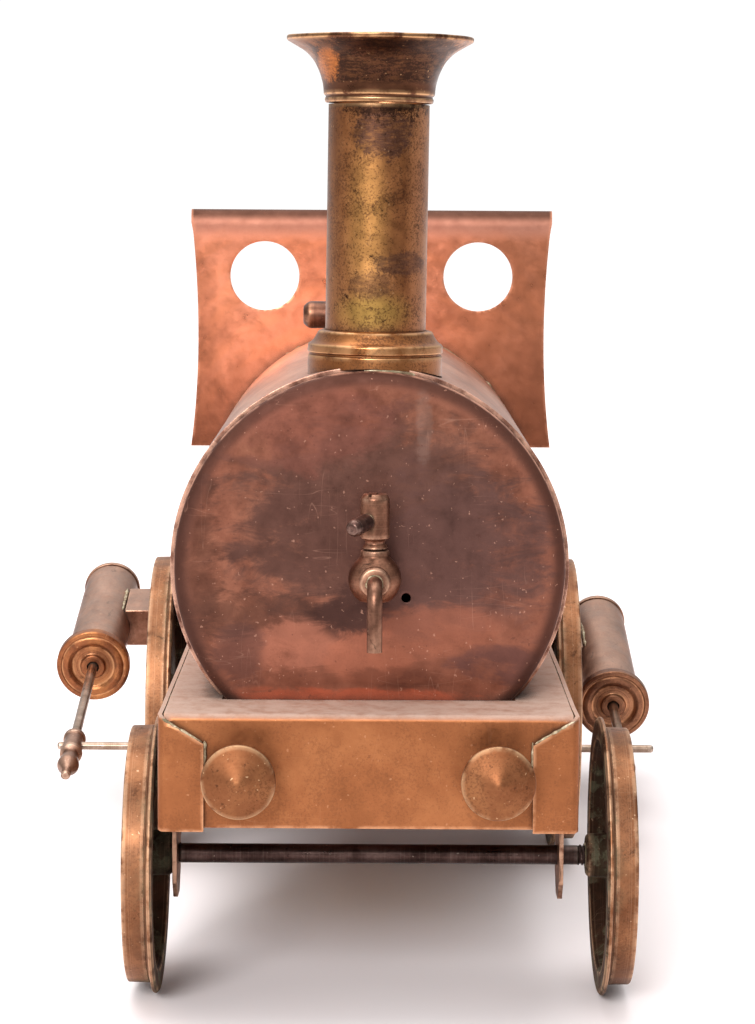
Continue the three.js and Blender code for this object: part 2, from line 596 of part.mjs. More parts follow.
function makeCylinderUnit(side) {
  const group = rockingGroup(side);
  const add = (name, geometry, finish) => piece(`${name}_${side.name}`,
    side.sign > 0 ? geometry : mirrored(weld(geometry)), finish, group);
  const onAxis = (geometry) => alongY(geometry).translate(side.axisX, 0, 0);
  const { barrel, bore, front, rear, flange, flangeThick } = CYLINDER;

  const shell = onAxis(turned([[0, front], [8, front], [8, front + 2.6], [barrel, front + 3.2],
    [barrel, rear], [0, rear]], 24));
  const pad = block([side.portX, side.axisX], [PORT_PAD.front, PORT_PAD.rear],
    [-PORT_PAD.halfHeight, PORT_PAD.halfHeight]);
  const boring = onAxis(rod(bore, front - 1, rear + 1, 24));
  const pivotWell = alongX(rod(TRUNNION.seat + GAP, side.portX - 1, side.portX + 1.4, 12));
  add("cylinder_barrel", cut(joined(shell, pad), boring, pivotWell), brownedCopper());

  const coverBack = front - GAP;
  const coverFace = coverBack - flangeThick;
  add("cylinder_front_cover", onAxis(turned([
    [ROD.radius + GAP, coverFace - 0.4], [3, coverFace - 0.4], [3.3, coverFace + 0.6],
    [5.6, coverFace + 0.6], [6.4, coverFace - 0.1], [flange, coverFace + 0.3],
    [flange, coverBack], [ROD.radius + GAP, coverBack],
  ], 24)), brass());
  add("cylinder_rear_cover", onAxis(turned([
    [0, rear + GAP], [7.6, rear + GAP], [7.6, rear + 2], [6.9, rear + 2.6], [0, rear + 2.6],
  ], 24)), brownedCopper());

  makeTrunnion(side, add);
  makePistonUnit(side, add, onAxis);
}

// The pin the cylinder rocks on, held through the port block by a sprung nut.
function makeTrunnion(side, add) {
  const { pinRadius, seat, thread, nutInner } = TRUNNION;
  const nutOuter = nutInner + TRUNNION.nutThick;
  const plateInner = side.portX - GAP - PORT_PLATE.thickness;
  add("trunnion_pin", alongX(turned([[0, nutInner - 0.8], [thread, nutInner - 0.8],
    [thread, nutOuter + GAP], [pinRadius, nutOuter + GAP], [pinRadius, side.portX - GAP],
    [seat, side.portX - GAP], [seat, side.portX + 1.1], [0, side.portX + 1.1]], 16)), steel());
  add("trunnion_nut", alongX(turned([[thread + GAP, nutInner], [3.2, nutInner],
    [3.2, nutOuter], [thread + GAP, nutOuter]], 6)), brass());
  const springFrom = nutOuter + GAP + SPRING_WIRE + 0.05;
  const springTo = plateInner - GAP - SPRING_WIRE - 0.05;
  add("trunnion_spring", alongX(coilSpring(2.6, SPRING_WIRE, springFrom, springTo,
    Math.round((plateInner - springFrom) / 1.6))), steel());
}

// The line from a side's crank pin up to its trunnion: how steep and how long.
function stroke(side) {
  const angle = THREE.MathUtils.degToRad(side.crankDeg);
  const dy = TRUNNION.y - (DRIVING_AXLE.y + CRANK.radius * Math.cos(angle));
  const dz = side.trunnionZ - (DRIVING_AXLE.z + CRANK.radius * Math.sin(angle));
  return { tilt: Math.atan2(dz, dy), length: Math.hypot(dy, dz) };
}

// The rod, its head and the crank pin; their places along the cylinder axis are
// measured rearwards from the trunnion.
function makePistonUnit(side, add, onAxis) {
  const pin = -stroke(side).length;
  const piston = pin + ROD.pistonFromPin;
  const half = ROD.pistonThick / 2;
  add("piston_rod", onAxis(turned([
    [0, pin + 2.3], [ROD.radius, pin + 2.3], [ROD.radius, piston - half],
    [CYLINDER.bore - GAP, piston - half], [CYLINDER.bore - GAP, piston + half], [0, piston + half],
  ], 20)), steel());

  // A turned head: a block with two collars round the crank pin, then a bulb
  // and a threaded tip that point forwards.
  const head = onAxis(turned([
    [0, pin - 17.5], [1.0, pin - 17.3], [1.0, pin - 14.6], [2.6, pin - 11.5], [1.8, pin - 5.8],
    [2.7, pin - 5.2], [2.7, pin - 3.9], [2.3, pin - 3.6], [2.3, pin + 3], [2.7, pin + 3.3],
    [2.7, pin + 4.6], [0, pin + 4.6],
  ], 16));
  const rodWell = onAxis(rod(ROD.radius + GAP, pin + 2, pin + 6, 12));
  const pinHole = alongX(rod(CRANK.pinRadius + GAP, side.axisX - 5, side.axisX + 5, 14))
    .translate(0, pin, 0);
  add("big_end", cut(head, rodWell, pinHole), agedBrass());

  const wheelFace = DRIVING_WHEEL.inner + DRIVING_WHEEL.width - WEB_RECESS
    + side.sign * DRIVING_AXLE.shift;
  add("crank_pin", alongX(rod(CRANK.pinRadius, wheelFace + GAP, side.pinTip, 14))
    .translate(0, pin, 0), steel());
}

// ---------------------------------------------------------------- spirit burner

function makeBurner() {
  const { halfWidth, front, rear, bottom, top, corner } = BURNER;
  const plan = roundedOutline([
    [-halfWidth, front, corner], [halfWidth, front, corner],
    [halfWidth, rear, corner], [-halfWidth, rear, corner],
  ]);
  const tubes = WICK_TUBE.y.map((y) =>
    rod(WICK_TUBE.radius, top - 1, WICK_TUBE.top, 14).translate(0, y, 0));
  const wells = WICK_TUBE.y.map((y) =>
    rod(WICK_TUBE.bore, WICK_TUBE.top - WICK_TUBE.wellDepth, WICK_TUBE.top + 1, 14)
      .translate(0, y, 0));
  piece("burner_tank", cut(joined(extrudeZ(plan, bottom, top, 4), ...tubes), ...wells), brass());

  const outer = FRAME.halfWidth - SHEET - GAP;
  const low = bottom - GAP;
  const strap = roundedOutline([
    [outer, HANGER.top], [outer - SHEET, HANGER.top], [outer - SHEET, low, 3],
    [-outer + SHEET, low, 3], [-outer + SHEET, HANGER.top], [-outer, HANGER.top],
    [-outer, low - SHEET, 3.8], [outer, low - SHEET, 3.8],
  ]);
  for (const [place, y] of Object.entries(HANGER.y)) {
    piece(`burner_hanger_${place}`,
      extrudeY(strap, y - HANGER.width / 2, y + HANGER.width / 2), agedBrass());
  }
}

// --------------------------------------------------------------------- assembly

makeTopPlate();
makeBoiler();
makeWeatherboard();
makeChimney();
makeTap();
makeRegulator();
makeSafetyValve();
makeSteamPipes();
makeBurner();
makeWheelset("front_axle", "front_wheel", FRONT_AXLE, FRONT_WHEEL);
makeWheelset("driving_axle", "driving_wheel", DRIVING_AXLE, DRIVING_WHEEL);
for (const side of Object.values(SIDES)) {
  makeSidePlate(side);
  makeBuffer(side);
  makeBracket("front_axle_bracket", side, FRONT_AXLE, BRACKET.frontWidth);
  makeBracket("driving_axle_bracket", side, DRIVING_AXLE, BRACKET.drivingWidth);
  makePortBlock(side);
  makeCylinderUnit(side);
}

export default engine;
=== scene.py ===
"""Looks of the model steam locomotive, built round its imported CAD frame.

Shapes are drawn in millimetres in the engine's own layout: x from the centre
plane, y rearwards from the front face of the frame and z up from the floor.
"""

import json
import math
import random

import bpy
from mathutils import Matrix, Vector, noise
from mathutils.geometry import delaunay_2d_cdt


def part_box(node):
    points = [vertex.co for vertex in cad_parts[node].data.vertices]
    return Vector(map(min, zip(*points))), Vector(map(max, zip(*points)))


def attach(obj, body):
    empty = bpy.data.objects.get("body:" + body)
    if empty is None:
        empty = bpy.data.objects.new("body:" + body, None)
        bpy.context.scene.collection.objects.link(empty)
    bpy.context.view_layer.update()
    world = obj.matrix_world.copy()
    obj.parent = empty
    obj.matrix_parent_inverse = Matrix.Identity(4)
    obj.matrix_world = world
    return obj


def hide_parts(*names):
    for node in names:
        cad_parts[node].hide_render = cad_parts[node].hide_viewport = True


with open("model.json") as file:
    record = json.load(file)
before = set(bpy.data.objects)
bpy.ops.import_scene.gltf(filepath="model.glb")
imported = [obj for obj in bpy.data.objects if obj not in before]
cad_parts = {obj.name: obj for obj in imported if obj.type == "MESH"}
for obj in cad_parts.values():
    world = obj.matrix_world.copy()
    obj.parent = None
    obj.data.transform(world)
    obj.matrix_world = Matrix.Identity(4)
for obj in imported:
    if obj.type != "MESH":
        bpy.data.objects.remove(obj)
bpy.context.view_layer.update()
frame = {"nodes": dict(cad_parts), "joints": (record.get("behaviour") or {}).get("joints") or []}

MM = 0.001
TOP_LOW, TOP_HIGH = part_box("frame_top_plate")
ORIGIN = Vector(((TOP_LOW.x + TOP_HIGH.x) / 2, TOP_LOW.y, 0))
JOINTS = {joint["name"]: joint for joint in frame["joints"]}
X, Y, Z = Vector((1, 0, 0)), Vector((0, 1, 0)), Vector((0, 0, 1))
SIDES = (("left", -1), ("right", 1))


def layout(point):
    """A point of the row frame, in the engine's layout in millimetres."""
    return (Vector(point) - ORIGIN) / MM


def box_mm(node):
    low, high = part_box(node)
    return layout(low), layout(high)


def centre_mm(node):
    low, high = box_mm(node)
    return (low + high) / 2


def link(name, data):
    made = bpy.data.objects.new(name, data)
    bpy.context.scene.collection.objects.link(made)
    return made


# -------------------------------------------------------------------- camera

def make_camera():
    """In front of the engine and a little above its frame, looking slightly down."""
    lens = bpy.data.cameras.new("camera")
    lens.lens = 100.16
    lens.shift_y = -0.1
    lens.sensor_width = 36
    lens.clip_end = 50
    camera = link("camera", lens)
    bpy.context.scene.camera = camera
    camera.matrix_world = (
        Matrix.Translation(ORIGIN + Vector((0.1, -530.5, 158.9)) * MM)
        @ Matrix.Rotation(math.radians(-0.13), 4, "Z")
        @ Matrix.Rotation(math.radians(90 - 4.33), 4, "X")
        @ Matrix.Rotation(math.radians(0.35), 4, "Z"))


make_camera()


# ------------------------------------------------------------- shape builder

class Shape:
    """Points, faces and two values per point: edge, how worn a corner is, and
    along, how far along the profile or sheet it lies."""

    def __init__(self):
        self.points = []
        self.faces = []
        self.edge = []
        self.along = []

    def add_point(self, point, edge=0.0, along=0.0):
        self.points.append(Vector(point))
        self.edge.append(edge)
        self.along.append(along)
        return len(self.points) - 1

    def join(self, *others):
        for other in others:
            start = len(self.points)
            self.points += [point.copy() for point in other.points]
            self.edge += other.edge
            self.along += other.along
            self.faces += [tuple(start + i for i in face) for face in other.faces]
        return self

    def skin(self, rings):
        """Joins each ring of points to the next; a ring can be a single point."""
        for low, high in zip(rings, rings[1:]):
            count = max(len(low), len(high))
            for k in range(count if count > 1 else 0):
                n = (k + 1) % count
                if len(low) == 1:
                    face = (low[0], high[n], high[k])
                elif len(high) == 1:
                    face = (low[k], low[n], high[0])
                else:
                    face = (low[k], low[n], high[n], high[k])
                self.faces.append(face)
        return self

    def bend(self, function):
        self.points = [Vector(function(point)) for point in self.points]
        return self

    def move(self, x=0, y=0, z=0):
        return self.bend(lambda p: p + Vector((x, y, z)))

    def turn(self, degrees, axis):
        spin = Matrix.Rotation(math.radians(degrees), 3, axis)
        return self.bend(lambda p: spin @ p)

    def flip(self):
        self.faces = [tuple(reversed(face)) for face in self.faces]
        return self

    def mirror(self):
        return self.bend(lambda p: Vector((-p.x, p.y, p.z))).flip()

    def on_side(self, sign):
        return self.mirror() if sign < 0 else self


def along_x(shape):
    return shape.turn(90, "Y")


def along_y(shape):
    return shape.turn(-90, "X")


def forwards(shape):
    return shape.turn(90, "X")


def angles(count):
    return [2 * math.pi * k / count for k in range(count)]


def rounded(start, corner, end, t):
    """A point of the curve that rounds a corner, at t from 0 to 1."""
    return start * (1 - t) ** 2 + corner * (2 * t * (1 - t)) + end * t ** 2


def between(a, b, step):
    """Points from a towards b, about a step apart, without b itself."""
    pieces = max(1, round((b - a).length / step))
    return [a.lerp(b, k / pieces) for k in range(pieces)]


def raised(points, by):
    """The points of a profile, lifted along its axis."""
    return [(point[0], point[1] + by, *point[2:]) for point in points]


def profile_points(points, closed, soft, steps):
    """Rounds a profile's corners; gives (radius, height, edge) in order."""
    out = []
    count = len(points)
    for i, point in enumerate(points):
        here = Vector(point[:2])
        if not closed and i in (0, count - 1):
            out.append((here.x, here.y, 0.0))
            continue
        before = Vector(points[i - 1][:2]) - here
        after = Vector(points[(i + 1) % count][:2]) - here
        turn = math.degrees(math.pi - before.angle(after))
        if turn < 6:
            out.append((here.x, here.y, 0.0))
            continue
        want = point[2] if len(point) > 2 else soft
        reach = min(want, before.length * 0.42, after.length * 0.42)
        convex = (-before.x * after.y + before.y * after.x) > 0
        wear = 1.0 if convex and turn > 25 else 0.0
        start = here + before.normalized() * reach
        end = here + after.normalized() * reach
        fade = reach + 0.7
        if before.length > 2.2 * fade:
            out.append((*(here + before.normalized() * fade), 0.0))
        for k in range(steps + 1):
            t = k / steps
            out.append((*rounded(start, here, end, t), wear * (1 - abs(2 * t - 1) * 0.6)))
        if after.length > 2.2 * fade:
            out.append((*(here + after.normalized() * fade), 0.0))
    return out


def lathe(points, segments=96, soft=0.25, steps=3):
    """A turned solid about +z, from (radius, height[, rounding]) points listed
    up the outside; a profile that leaves the axis is closed on itself."""
    closed = points[0][0] > 0 or points[-1][0] > 0
    profile = profile_points(points, closed, soft, steps)
    shape = Shape()
    rings = []
    length = 0.0
    last = None
    for radius, height, edge in profile:
        if last is not None:
            length += math.hypot(radius - last[0], height - last[1])
        last = (radius, height)
        rings.append([
            shape.add_point((radius * math.cos(a), radius * math.sin(a), height), edge, length)
            for a in angles(segments if radius > 0 else 1)])
    return shape.skin(rings + rings[:1] if closed else rings)


def inside(point, loop):
    x, y = point
    hit = False
    for i in range(len(loop)):
        x1, y1 = loop[i - 1]
        x2, y2 = loop[i]
        if (y1 > y) != (y2 > y) and x < (x2 - x1) * (y - y1) / (y2 - y1) + x1:
            hit = not hit
    return hit


def dense(loop, step):
    out = []
    for a, b in zip(loop, loop[1:] + loop[:1]):
        out += [tuple(p) for p in between(Vector(a), Vector(b), step)]
    return out


def circle(x, y, radius, count=40):
    return [(x + radius * math.cos(a), y + radius * math.sin(a)) for a in angles(count)]


def hoop(centre, radius, count, right, up):
    """A closed path round a centre, in the plane of two directions."""
    return [Vector(centre) + (right * math.cos(a) + up * math.sin(a)) * radius
            for a in angles(count) + [0]]


def inset_loop(loop, distance):
    """Points just inside a counter-clockwise loop."""
    out = []
    for before, point, after in zip(loop[-1:] + loop, loop, loop[1:] + loop[:1]):
        way = (Vector(after) - Vector(before)).normalized()
        out.append(tuple(Vector(point) + Vector((-way.y, way.x)) * distance))
    return out


def flat(outline, holes=(), step=3.0, rows=(), extra=()):
    """A flat pattern in (u, v), filled with triangles, worn along its edges.
    rows are lines of constant v where the sheet is to bend."""
    outer = dense(outline, min(step, 2.0))
    loops = [outer] + [list(reversed(hole)) for hole in holes]
    low, high = ([pick(p[k] for p in outer) for k in (0, 1)] for pick in (min, max))
    points = [p for loop in loops for p in loop]
    boundary = len(points)
    edges = []
    start = 0
    for loop in loops:
        edges += [(start + k, start + (k + 1) % len(loop)) for k in range(len(loop))]
        start += len(loop)
    candidates = [p for loop in loops for p in inset_loop(loop, 0.7)]
    across = [low[0] + step * (k + 0.5) for k in range(int((high[0] - low[0]) / step))]
    up = [low[1] + step * (k + 0.5) for k in range(int((high[1] - low[1]) / step))]
    up = [v for v in up if all(abs(v - row) > 0.6 for row in rows)] + list(rows)
    candidates += [(u, v) for u in across for v in up] + list(extra)
    cells = {}

    def cell(p):
        return int(p[0] // 2), int(p[1] // 2)

    def crowded(p, gap):
        i, j = cell(p)
        return any(math.dist(p, q) < gap for di in (-1, 0, 1) for dj in (-1, 0, 1)
                   for q in cells.get((i + di, j + dj), ()))

    def filled(p):
        return inside(p, outer) and not any(inside(p, hole) for hole in holes)

    for p in points:
        cells.setdefault(cell(p), []).append(p)
    for p in candidates:
        if filled(p) and not crowded(p, 0.35):
            points.append(p)
            cells.setdefault(cell(p), []).append(p)
    verts, _, faces, origins, *_ = delaunay_2d_cdt([Vector(p) for p in points], edges, [],
                                                   0, 1e-5)
    shape = Shape()
    for vert, source in zip(verts, origins):
        worn = any(k < boundary for k in source)
        shape.add_point((vert.x, vert.y, 0), 1.0 if worn else 0.0, vert.y)
    for face in faces:
        centre = sum((verts[i] for i in face), Vector((0, 0))) / len(face)
        if filled(centre):
            a, b, c = (verts[i] for i in face[:3])
            up_facing = (b - a).cross(c - a) > 0
            shape.faces.append(tuple(face) if up_facing else tuple(reversed(face)))
    return shape


def tube(path, radius, sides=20, bore=0.0, wobble=0.0, seed=0):
    """A round bar or, with a bore, a pipe along a path of points; radius can be
    a function of 0..1."""
    points = [Vector(p) for p in path]
    size = radius if callable(radius) else (lambda t: radius)
    shape = Shape()
    tangent = (points[1] - points[0]).normalized()
    side = tangent.orthogonal().normalized()
    rings, inner = [], []
    length = 0.0
    for i, point in enumerate(points):
        ahead = points[min(i + 1, len(points) - 1)]
        behind = points[max(i - 1, 0)]
        now = (ahead - behind).normalized()
        side = (side - now * side.dot(now)).normalized()
        other = now.cross(side)
        if i:
            length += (point - points[i - 1]).length
        r = size(i / (len(points) - 1))

        def ring(rr):
            out = []
            for a in angles(sides):
                way = side * math.cos(a) + other * math.sin(a)
                bump = 1.0
                if wobble:
                    bump += wobble * noise.noise((point + way * rr) * 0.8 + Vector((seed, 0, 0)))
                out.append(shape.add_point(point + way * rr * bump, 0.0, length))
            return out

        rings.append(ring(r))
        if bore:
            inner.append(ring(bore))
    shape.skin(rings)
    for low, high in zip(inner, inner[1:]):
        for k in range(sides):
            n = (k + 1) % sides
            shape.faces.append((low[k], high[k], high[n], low[n]))
    if bore:
        for k in range(sides):
            n = (k + 1) % sides
            shape.faces.append((rings[0][k], inner[0][k], inner[0][n], rings[0][n]))
            shape.faces.append((rings[-1][k], rings[-1][n], inner[-1][n], inner[-1][k]))
        return shape
    for last, end, neighbour, t in ((rings[0], points[0], points[1], 0.0),
                                    (rings[-1], points[-1], points[-2], 1.0)):
        tip = shape.add_point(end + (end - neighbour).normalized() * size(t) * 0.35)
        for k in range(sides):
            face = (last[k], last[(k + 1) % sides], tip)
            shape.faces.append(face if t else tuple(reversed(face)))
    return shape


def helix(radius, start, end, turns, per_turn=20):
    """Points of a helix about +z."""
    count = round(turns * per_turn)
    return [Vector((radius * math.cos(2 * math.pi * turns * k / count),
                    radius * math.sin(2 * math.pi * turns * k / count),
                    start + (end - start) * k / count)) for k in range(count + 1)]


def thread(radius, start, end, pitch=0.79, depth=0.24):
    """The crests of a screw thread cut on a rod about +z."""
    turns = (end - start) / pitch
    return tube(helix(radius - depth * 0.4, start, end, turns), depth, sides=6)


def route(points, bend, step=1.0):
    """A path along straight stretches with rounded corners."""
    corners = [Vector(p) for p in points]
    stops = [corners[0]]
    for i in range(1, len(corners) - 1):
        here = corners[i]
        start = here + (corners[i - 1] - here).normalized() * bend
        end = here + (corners[i + 1] - here).normalized() * bend
        stops += [rounded(start, here, end, k / 8) for k in range(9)]
    stops.append(corners[-1])
    out = []
    for a, b in zip(stops, stops[1:]):
        out += between(a, b, step)
    return out + [stops[-1]]


def slab(x, y, z, soft=0.4):
    """A block with rounded corners."""
    shape = Shape()
    low = Vector((x[0], y[0], z[0]))
    high = Vector((x[1], y[1], z[1]))
    cuts = []
    for a, b in zip(low, high):
        s = min(soft, (b - a) * 0.3)
        cuts.append([a, a + s * 0.3, a + s, b - s, b - s * 0.3, b])
    for axis in range(3):
        u, v = (axis + 1) % 3, (axis + 2) % 3
        for side in (0, 1):
            ids = {}
            for i, cu in enumerate(cuts[u]):
                for j, cv in enumerate(cuts[v]):
                    p = [0, 0, 0]
                    p[axis] = (low, high)[side][axis]
                    p[u], p[v] = cu, cv
                    p = round_corner(Vector(p), low, high, min(soft, *((high - low) * 0.3)))
                    worn = 1.0 if i in (0, 1, 4, 5) or j in (0, 1, 4, 5) else 0.0
                    ids[i, j] = shape.add_point(p, worn)
            for i in range(5):
                for j in range(5):
                    face = (ids[i, j], ids[i + 1, j], ids[i + 1, j + 1], ids[i, j + 1])
                    shape.faces.append(face if side else tuple(reversed(face)))
    return shape


def round_corner(p, low, high, soft):
    """Pulls a point of a block's surface in onto its rounded edges."""
    core = Vector(max(a + soft, min(b - soft, c)) for a, b, c in zip(low, high, p))
    way = p - core
    if way.length < 1e-9:
        return p
    return core + way.normalized() * soft


def ripple(p, scale, seed=0.0):
    """Smooth noise, from -1 to 1, over a distance of about scale."""
    return noise.noise(p / scale + Vector((seed, seed * 1.7, seed * 0.3)))


# ----------------------------------------------------------------- materials

def linear(code):
    """A colour written as hex in sRGB, in linear light."""
    parts = [int(code[k:k + 2], 16) / 255 for k in (0, 2, 4)]
    return tuple(c / 12.92 if c <= 0.04045 else ((c + 0.055) / 1.055) ** 2.4
                 for c in parts) + (1.0,)


class Graph:
    """A short way to write the nodes of a material or world."""

    def __init__(self, owner):
        owner.use_nodes = True
        self.owner = owner
        self.tree = owner.node_tree
        self.tree.nodes.clear()
        self.places = self.node("TexCoord").outputs
        self.coord = self.places["Object"]
        self.large = self.rougher = None

    def node(self, kind, inputs=None, **settings):
        made = self.tree.nodes.new("ShaderNode" + kind)
        for key, value in settings.items():
            setattr(made, key, value)
        for key, value in (inputs or {}).items():
            if isinstance(value, bpy.types.NodeSocket):
                self.tree.links.new(value, made.inputs[key])
            else:
                made.inputs[key].default_value = linear(value) if isinstance(value, str) else value
        return made

    def math(self, kind, a, b=0.0, clamp=False):
        return self.node("Math", {0: a, 1: b}, operation=kind, use_clamp=clamp).outputs[0]

    def times(self, a, b):
        return self.math("MULTIPLY", a, b)

    def plus(self, a, b, clamp=False):
        return self.math("ADD", a, b, clamp)

    def minus(self, a, b, clamp=False):
        return self.math("SUBTRACT", a, b, clamp)

    def stretch(self, scale, turn=(0, 0, 0), shift=(0, 0, 0)):
        return self.node("Mapping", {"Vector": self.coord, "Scale": scale, "Rotation": turn,
                                     "Location": shift}).outputs["Vector"]

    def noise(self, scale, detail=3.0, rough=0.55, vector=None, warp=0.0):
        return self.node("TexNoise", {"Vector": vector or self.coord, "Scale": scale,
                                      "Detail": detail, "Roughness": rough,
                                      "Distortion": warp}).outputs["Fac"]

    def swing(self, *how):
        """Noise from about -0.5 to 0.5."""
        return self.minus(self.noise(*how), 0.5)

    def span(self, value, low, high, out_low=0.0, out_high=1.0):
        return self.node("MapRange", {"Value": value, "From Min": low, "From Max": high,
                                      "To Min": out_low, "To Max": out_high},
                         interpolation_type="SMOOTHSTEP").outputs["Result"]

    def ramp(self, value, *stops):
        made = self.node("ValToRGB", {"Fac": value})
        elements = made.color_ramp.elements
        while len(elements) < len(stops):
            elements.new(0.5)
        for element, (place, tone) in zip(elements, stops):
            element.position = place
            element.color = linear(tone) if isinstance(tone, str) else (tone, tone, tone, 1)
        return made.outputs["Color"]

    def mix(self, fac, a, b):
        return self.node("Mix", {0: fac, 6: a, 7: b}, data_type="RGBA").outputs[2]

    def tint(self, color, where, amount, tone):
        """Lays a tone over a colour by some amount where `where` is 1."""
        return self.mix(self.times(where, amount), color, tone)

    def attribute(self, name):
        return self.node("Attribute", attribute_name=name).outputs["Fac"]

    def separate(self, vector):
        return self.node("SeparateXYZ", {0: vector}).outputs

    def normal(self):
        return self.separate(self.node("NewGeometry").outputs["Normal"])

    def blob(self, centre, size):
        """1 at a place given in the row frame, fading to 0 at size metres."""
        scaled = self.stretch([1 / s for s in size],
                              shift=[-c / s for c, s in zip(centre, size)])
        far = self.node("VectorMath", {0: scaled}, operation="LENGTH")
        return self.span(far.outputs["Value"], 0.25, 1.0, 1.0, 0.0)

    def polar(self, x, z):
        """Distances across, above and all the way from a line along y."""
        place = self.separate(self.coord)
        across = self.minus(place[0], x)
        above = self.minus(place[2], z)
        return across, above, self.hypotenuse(across, above)

    def hypotenuse(self, a, b):
        return self.math("SQRT", self.plus(self.times(a, a), self.times(b, b)))

    def crevice(self, distance):
        return self.node("AmbientOcclusion", {"Distance": distance}, samples=4).outputs["AO"]

    def scratches(self, scale, turn):
        """Thin broken lines where stretched noise crosses its middle."""
        field = self.swing(1, 1.0, 0.5, self.stretch(scale, turn))
        return self.span(self.math("ABSOLUTE", field), 0.0, 0.006, 1.0, 0.0)

    def finish(self, color, roughness, bump, metallic=1.0, strength=0.4, depth=0.0001):
        raised = self.node("Bump", {"Strength": strength, "Distance": depth, "Height": bump})
        shader = self.node("BsdfPrincipled", {"Base Color": color, "Roughness": roughness,
                                              "Metallic": metallic,
                                              "Normal": raised.outputs["Normal"]})
        self.node("OutputMaterial", {"Surface": shader.outputs[0]})
        return self.owner


def metal(name, colors, rough=0.38, dust=0.0, dust_tone="c9b09d", patches=60,
          patina_level=0.6, specks=0.5, scratch=0.1, streak=(1, 1, 1), verdigris=0.0,
          turning=0.0, shade_and_grime_tone="2a1a12", zones=None, crack=0.004, stipple=0.0, calm=0.0):
    """Aged metal. colors are its dark, middle and bright tones, the patina that
    lies over it in clouds, and the light tone where it is rubbed or scratched."""
    deep, tone, bright, patina, light = colors.split()
    g = Graph(bpy.data.materials.new(name))
    g.large = g.noise(patches, 5, 0.6, g.stretch(streak), 0.35)
    middle = g.noise(230, 6, 0.65)
    grain = g.noise(1500, 3, 0.6)
    mottle = g.plus(g.times(g.large, 0.62),
                    g.plus(g.times(middle, 0.26), g.times(grain, 0.12)))
    reach = 0.12 / (1 - calm)
    color = g.ramp(mottle, (0.5 - reach, deep), (0.5, tone), (0.5 + reach, bright))
    if zones:
        color = zones(g, color)

    cloud = g.noise(patches * 1.9, 6, 0.7, g.stretch(streak, shift=(3.1, 1.7, 0.4)), 0.6)
    dark = g.span(cloud, patina_level, patina_level + 0.09)
    color = g.tint(color, dark, 0.75, patina)
    color = g.tint(color, g.span(g.noise(620, 3, 0.7), 0.66, 0.7), specks, patina)
    if stipple:
        dots = g.plus(g.noise(2300, 4, 0.7), g.times(g.swing(130, 5, 0.7, None, 0.5), 0.55))
        color = g.tint(color, g.span(dots, 0.53, 0.6), stipple * 0.7, patina)
    shine = g.span(g.noise(1300, 1, 0.5, g.stretch((1, 1, 1), shift=(5, 2, 8))), 0.74, 0.77)
    color = g.tint(color, shine, specks * 0.8, light)
    lines = g.math("MAXIMUM", g.scratches((38, 420, 360), (0.3, 0.7, 1.1)),
                   g.scratches((330, 300, 26), (0.5, -0.9, -0.4)))
    lines = g.times(lines, g.span(g.noise(90, 3, 0.6), 0.5, 0.66))
    color = g.tint(color, lines, scratch, light)
    cut = g.node("CombineXYZ", {0: g.attribute("along")})
    rings = g.swing(2600, 2, 0.5, cut.outputs[0])
    color = g.tint(color, g.span(rings, 0.03, 0.12), turning * 0.4, light)
    worn = g.times(g.attribute("edge"), g.span(middle, 0.36, 0.56))
    color = g.tint(color, worn, 0.8, light)

    roughness = g.plus(g.times(g.minus(middle, 0.5), 0.5), rough)
    roughness = g.plus(roughness, g.times(dark, 0.12))
    if g.rougher:
        roughness = g.plus(roughness, g.rougher)
    if dust:
        settled = g.times(g.span(g.normal()[2], 0.2, 0.95),
                          g.span(g.noise(260, 7, 0.8), 0.3, 0.6, 0.6, 1.0))
        settled = g.times(settled, dust)
        color = g.mix(settled, color, dust_tone)
        roughness = g.plus(roughness, g.times(settled, 0.35))
    # Painted shade, partly grime: ambient occlusion finds creases and gaps between parts, and
    # there the colour is darkened towards a dark tone and the metal made rougher and less
    # metallic.
    open_ = g.crevice(crack)
    shade_and_grime = g.span(g.plus(open_, g.times(g.minus(middle, 0.5), 0.5)), 0.35, 0.85, 1.0, 0.0)
    color = g.tint(color, shade_and_grime, 0.75, shade_and_grime_tone)
    if verdigris:
        green = g.times(g.span(g.noise(150, 6, 0.75), 0.5, 0.6),
                        g.span(open_, 0.55, 0.95, 1.0, 0.0))
        color = g.tint(color, green, verdigris, "8f9477")
        roughness = g.plus(roughness, g.times(green, 0.3))
    roughness = g.plus(roughness, g.times(shade_and_grime, 0.2), clamp=True)

    height = g.plus(g.times(grain, 0.35), g.times(middle, 0.6))
    height = g.minus(height, g.times(lines, 0.35 * scratch))
    height = g.plus(height, g.times(rings, 0.9 * turning))
    metallic = g.minus(1.0, g.times(shade_and_grime, 0.35), clamp=True)
    if dust:
        metallic = g.minus(metallic, g.times(settled, 0.55), clamp=True)
    return g.finish(color, roughness, height, metallic)


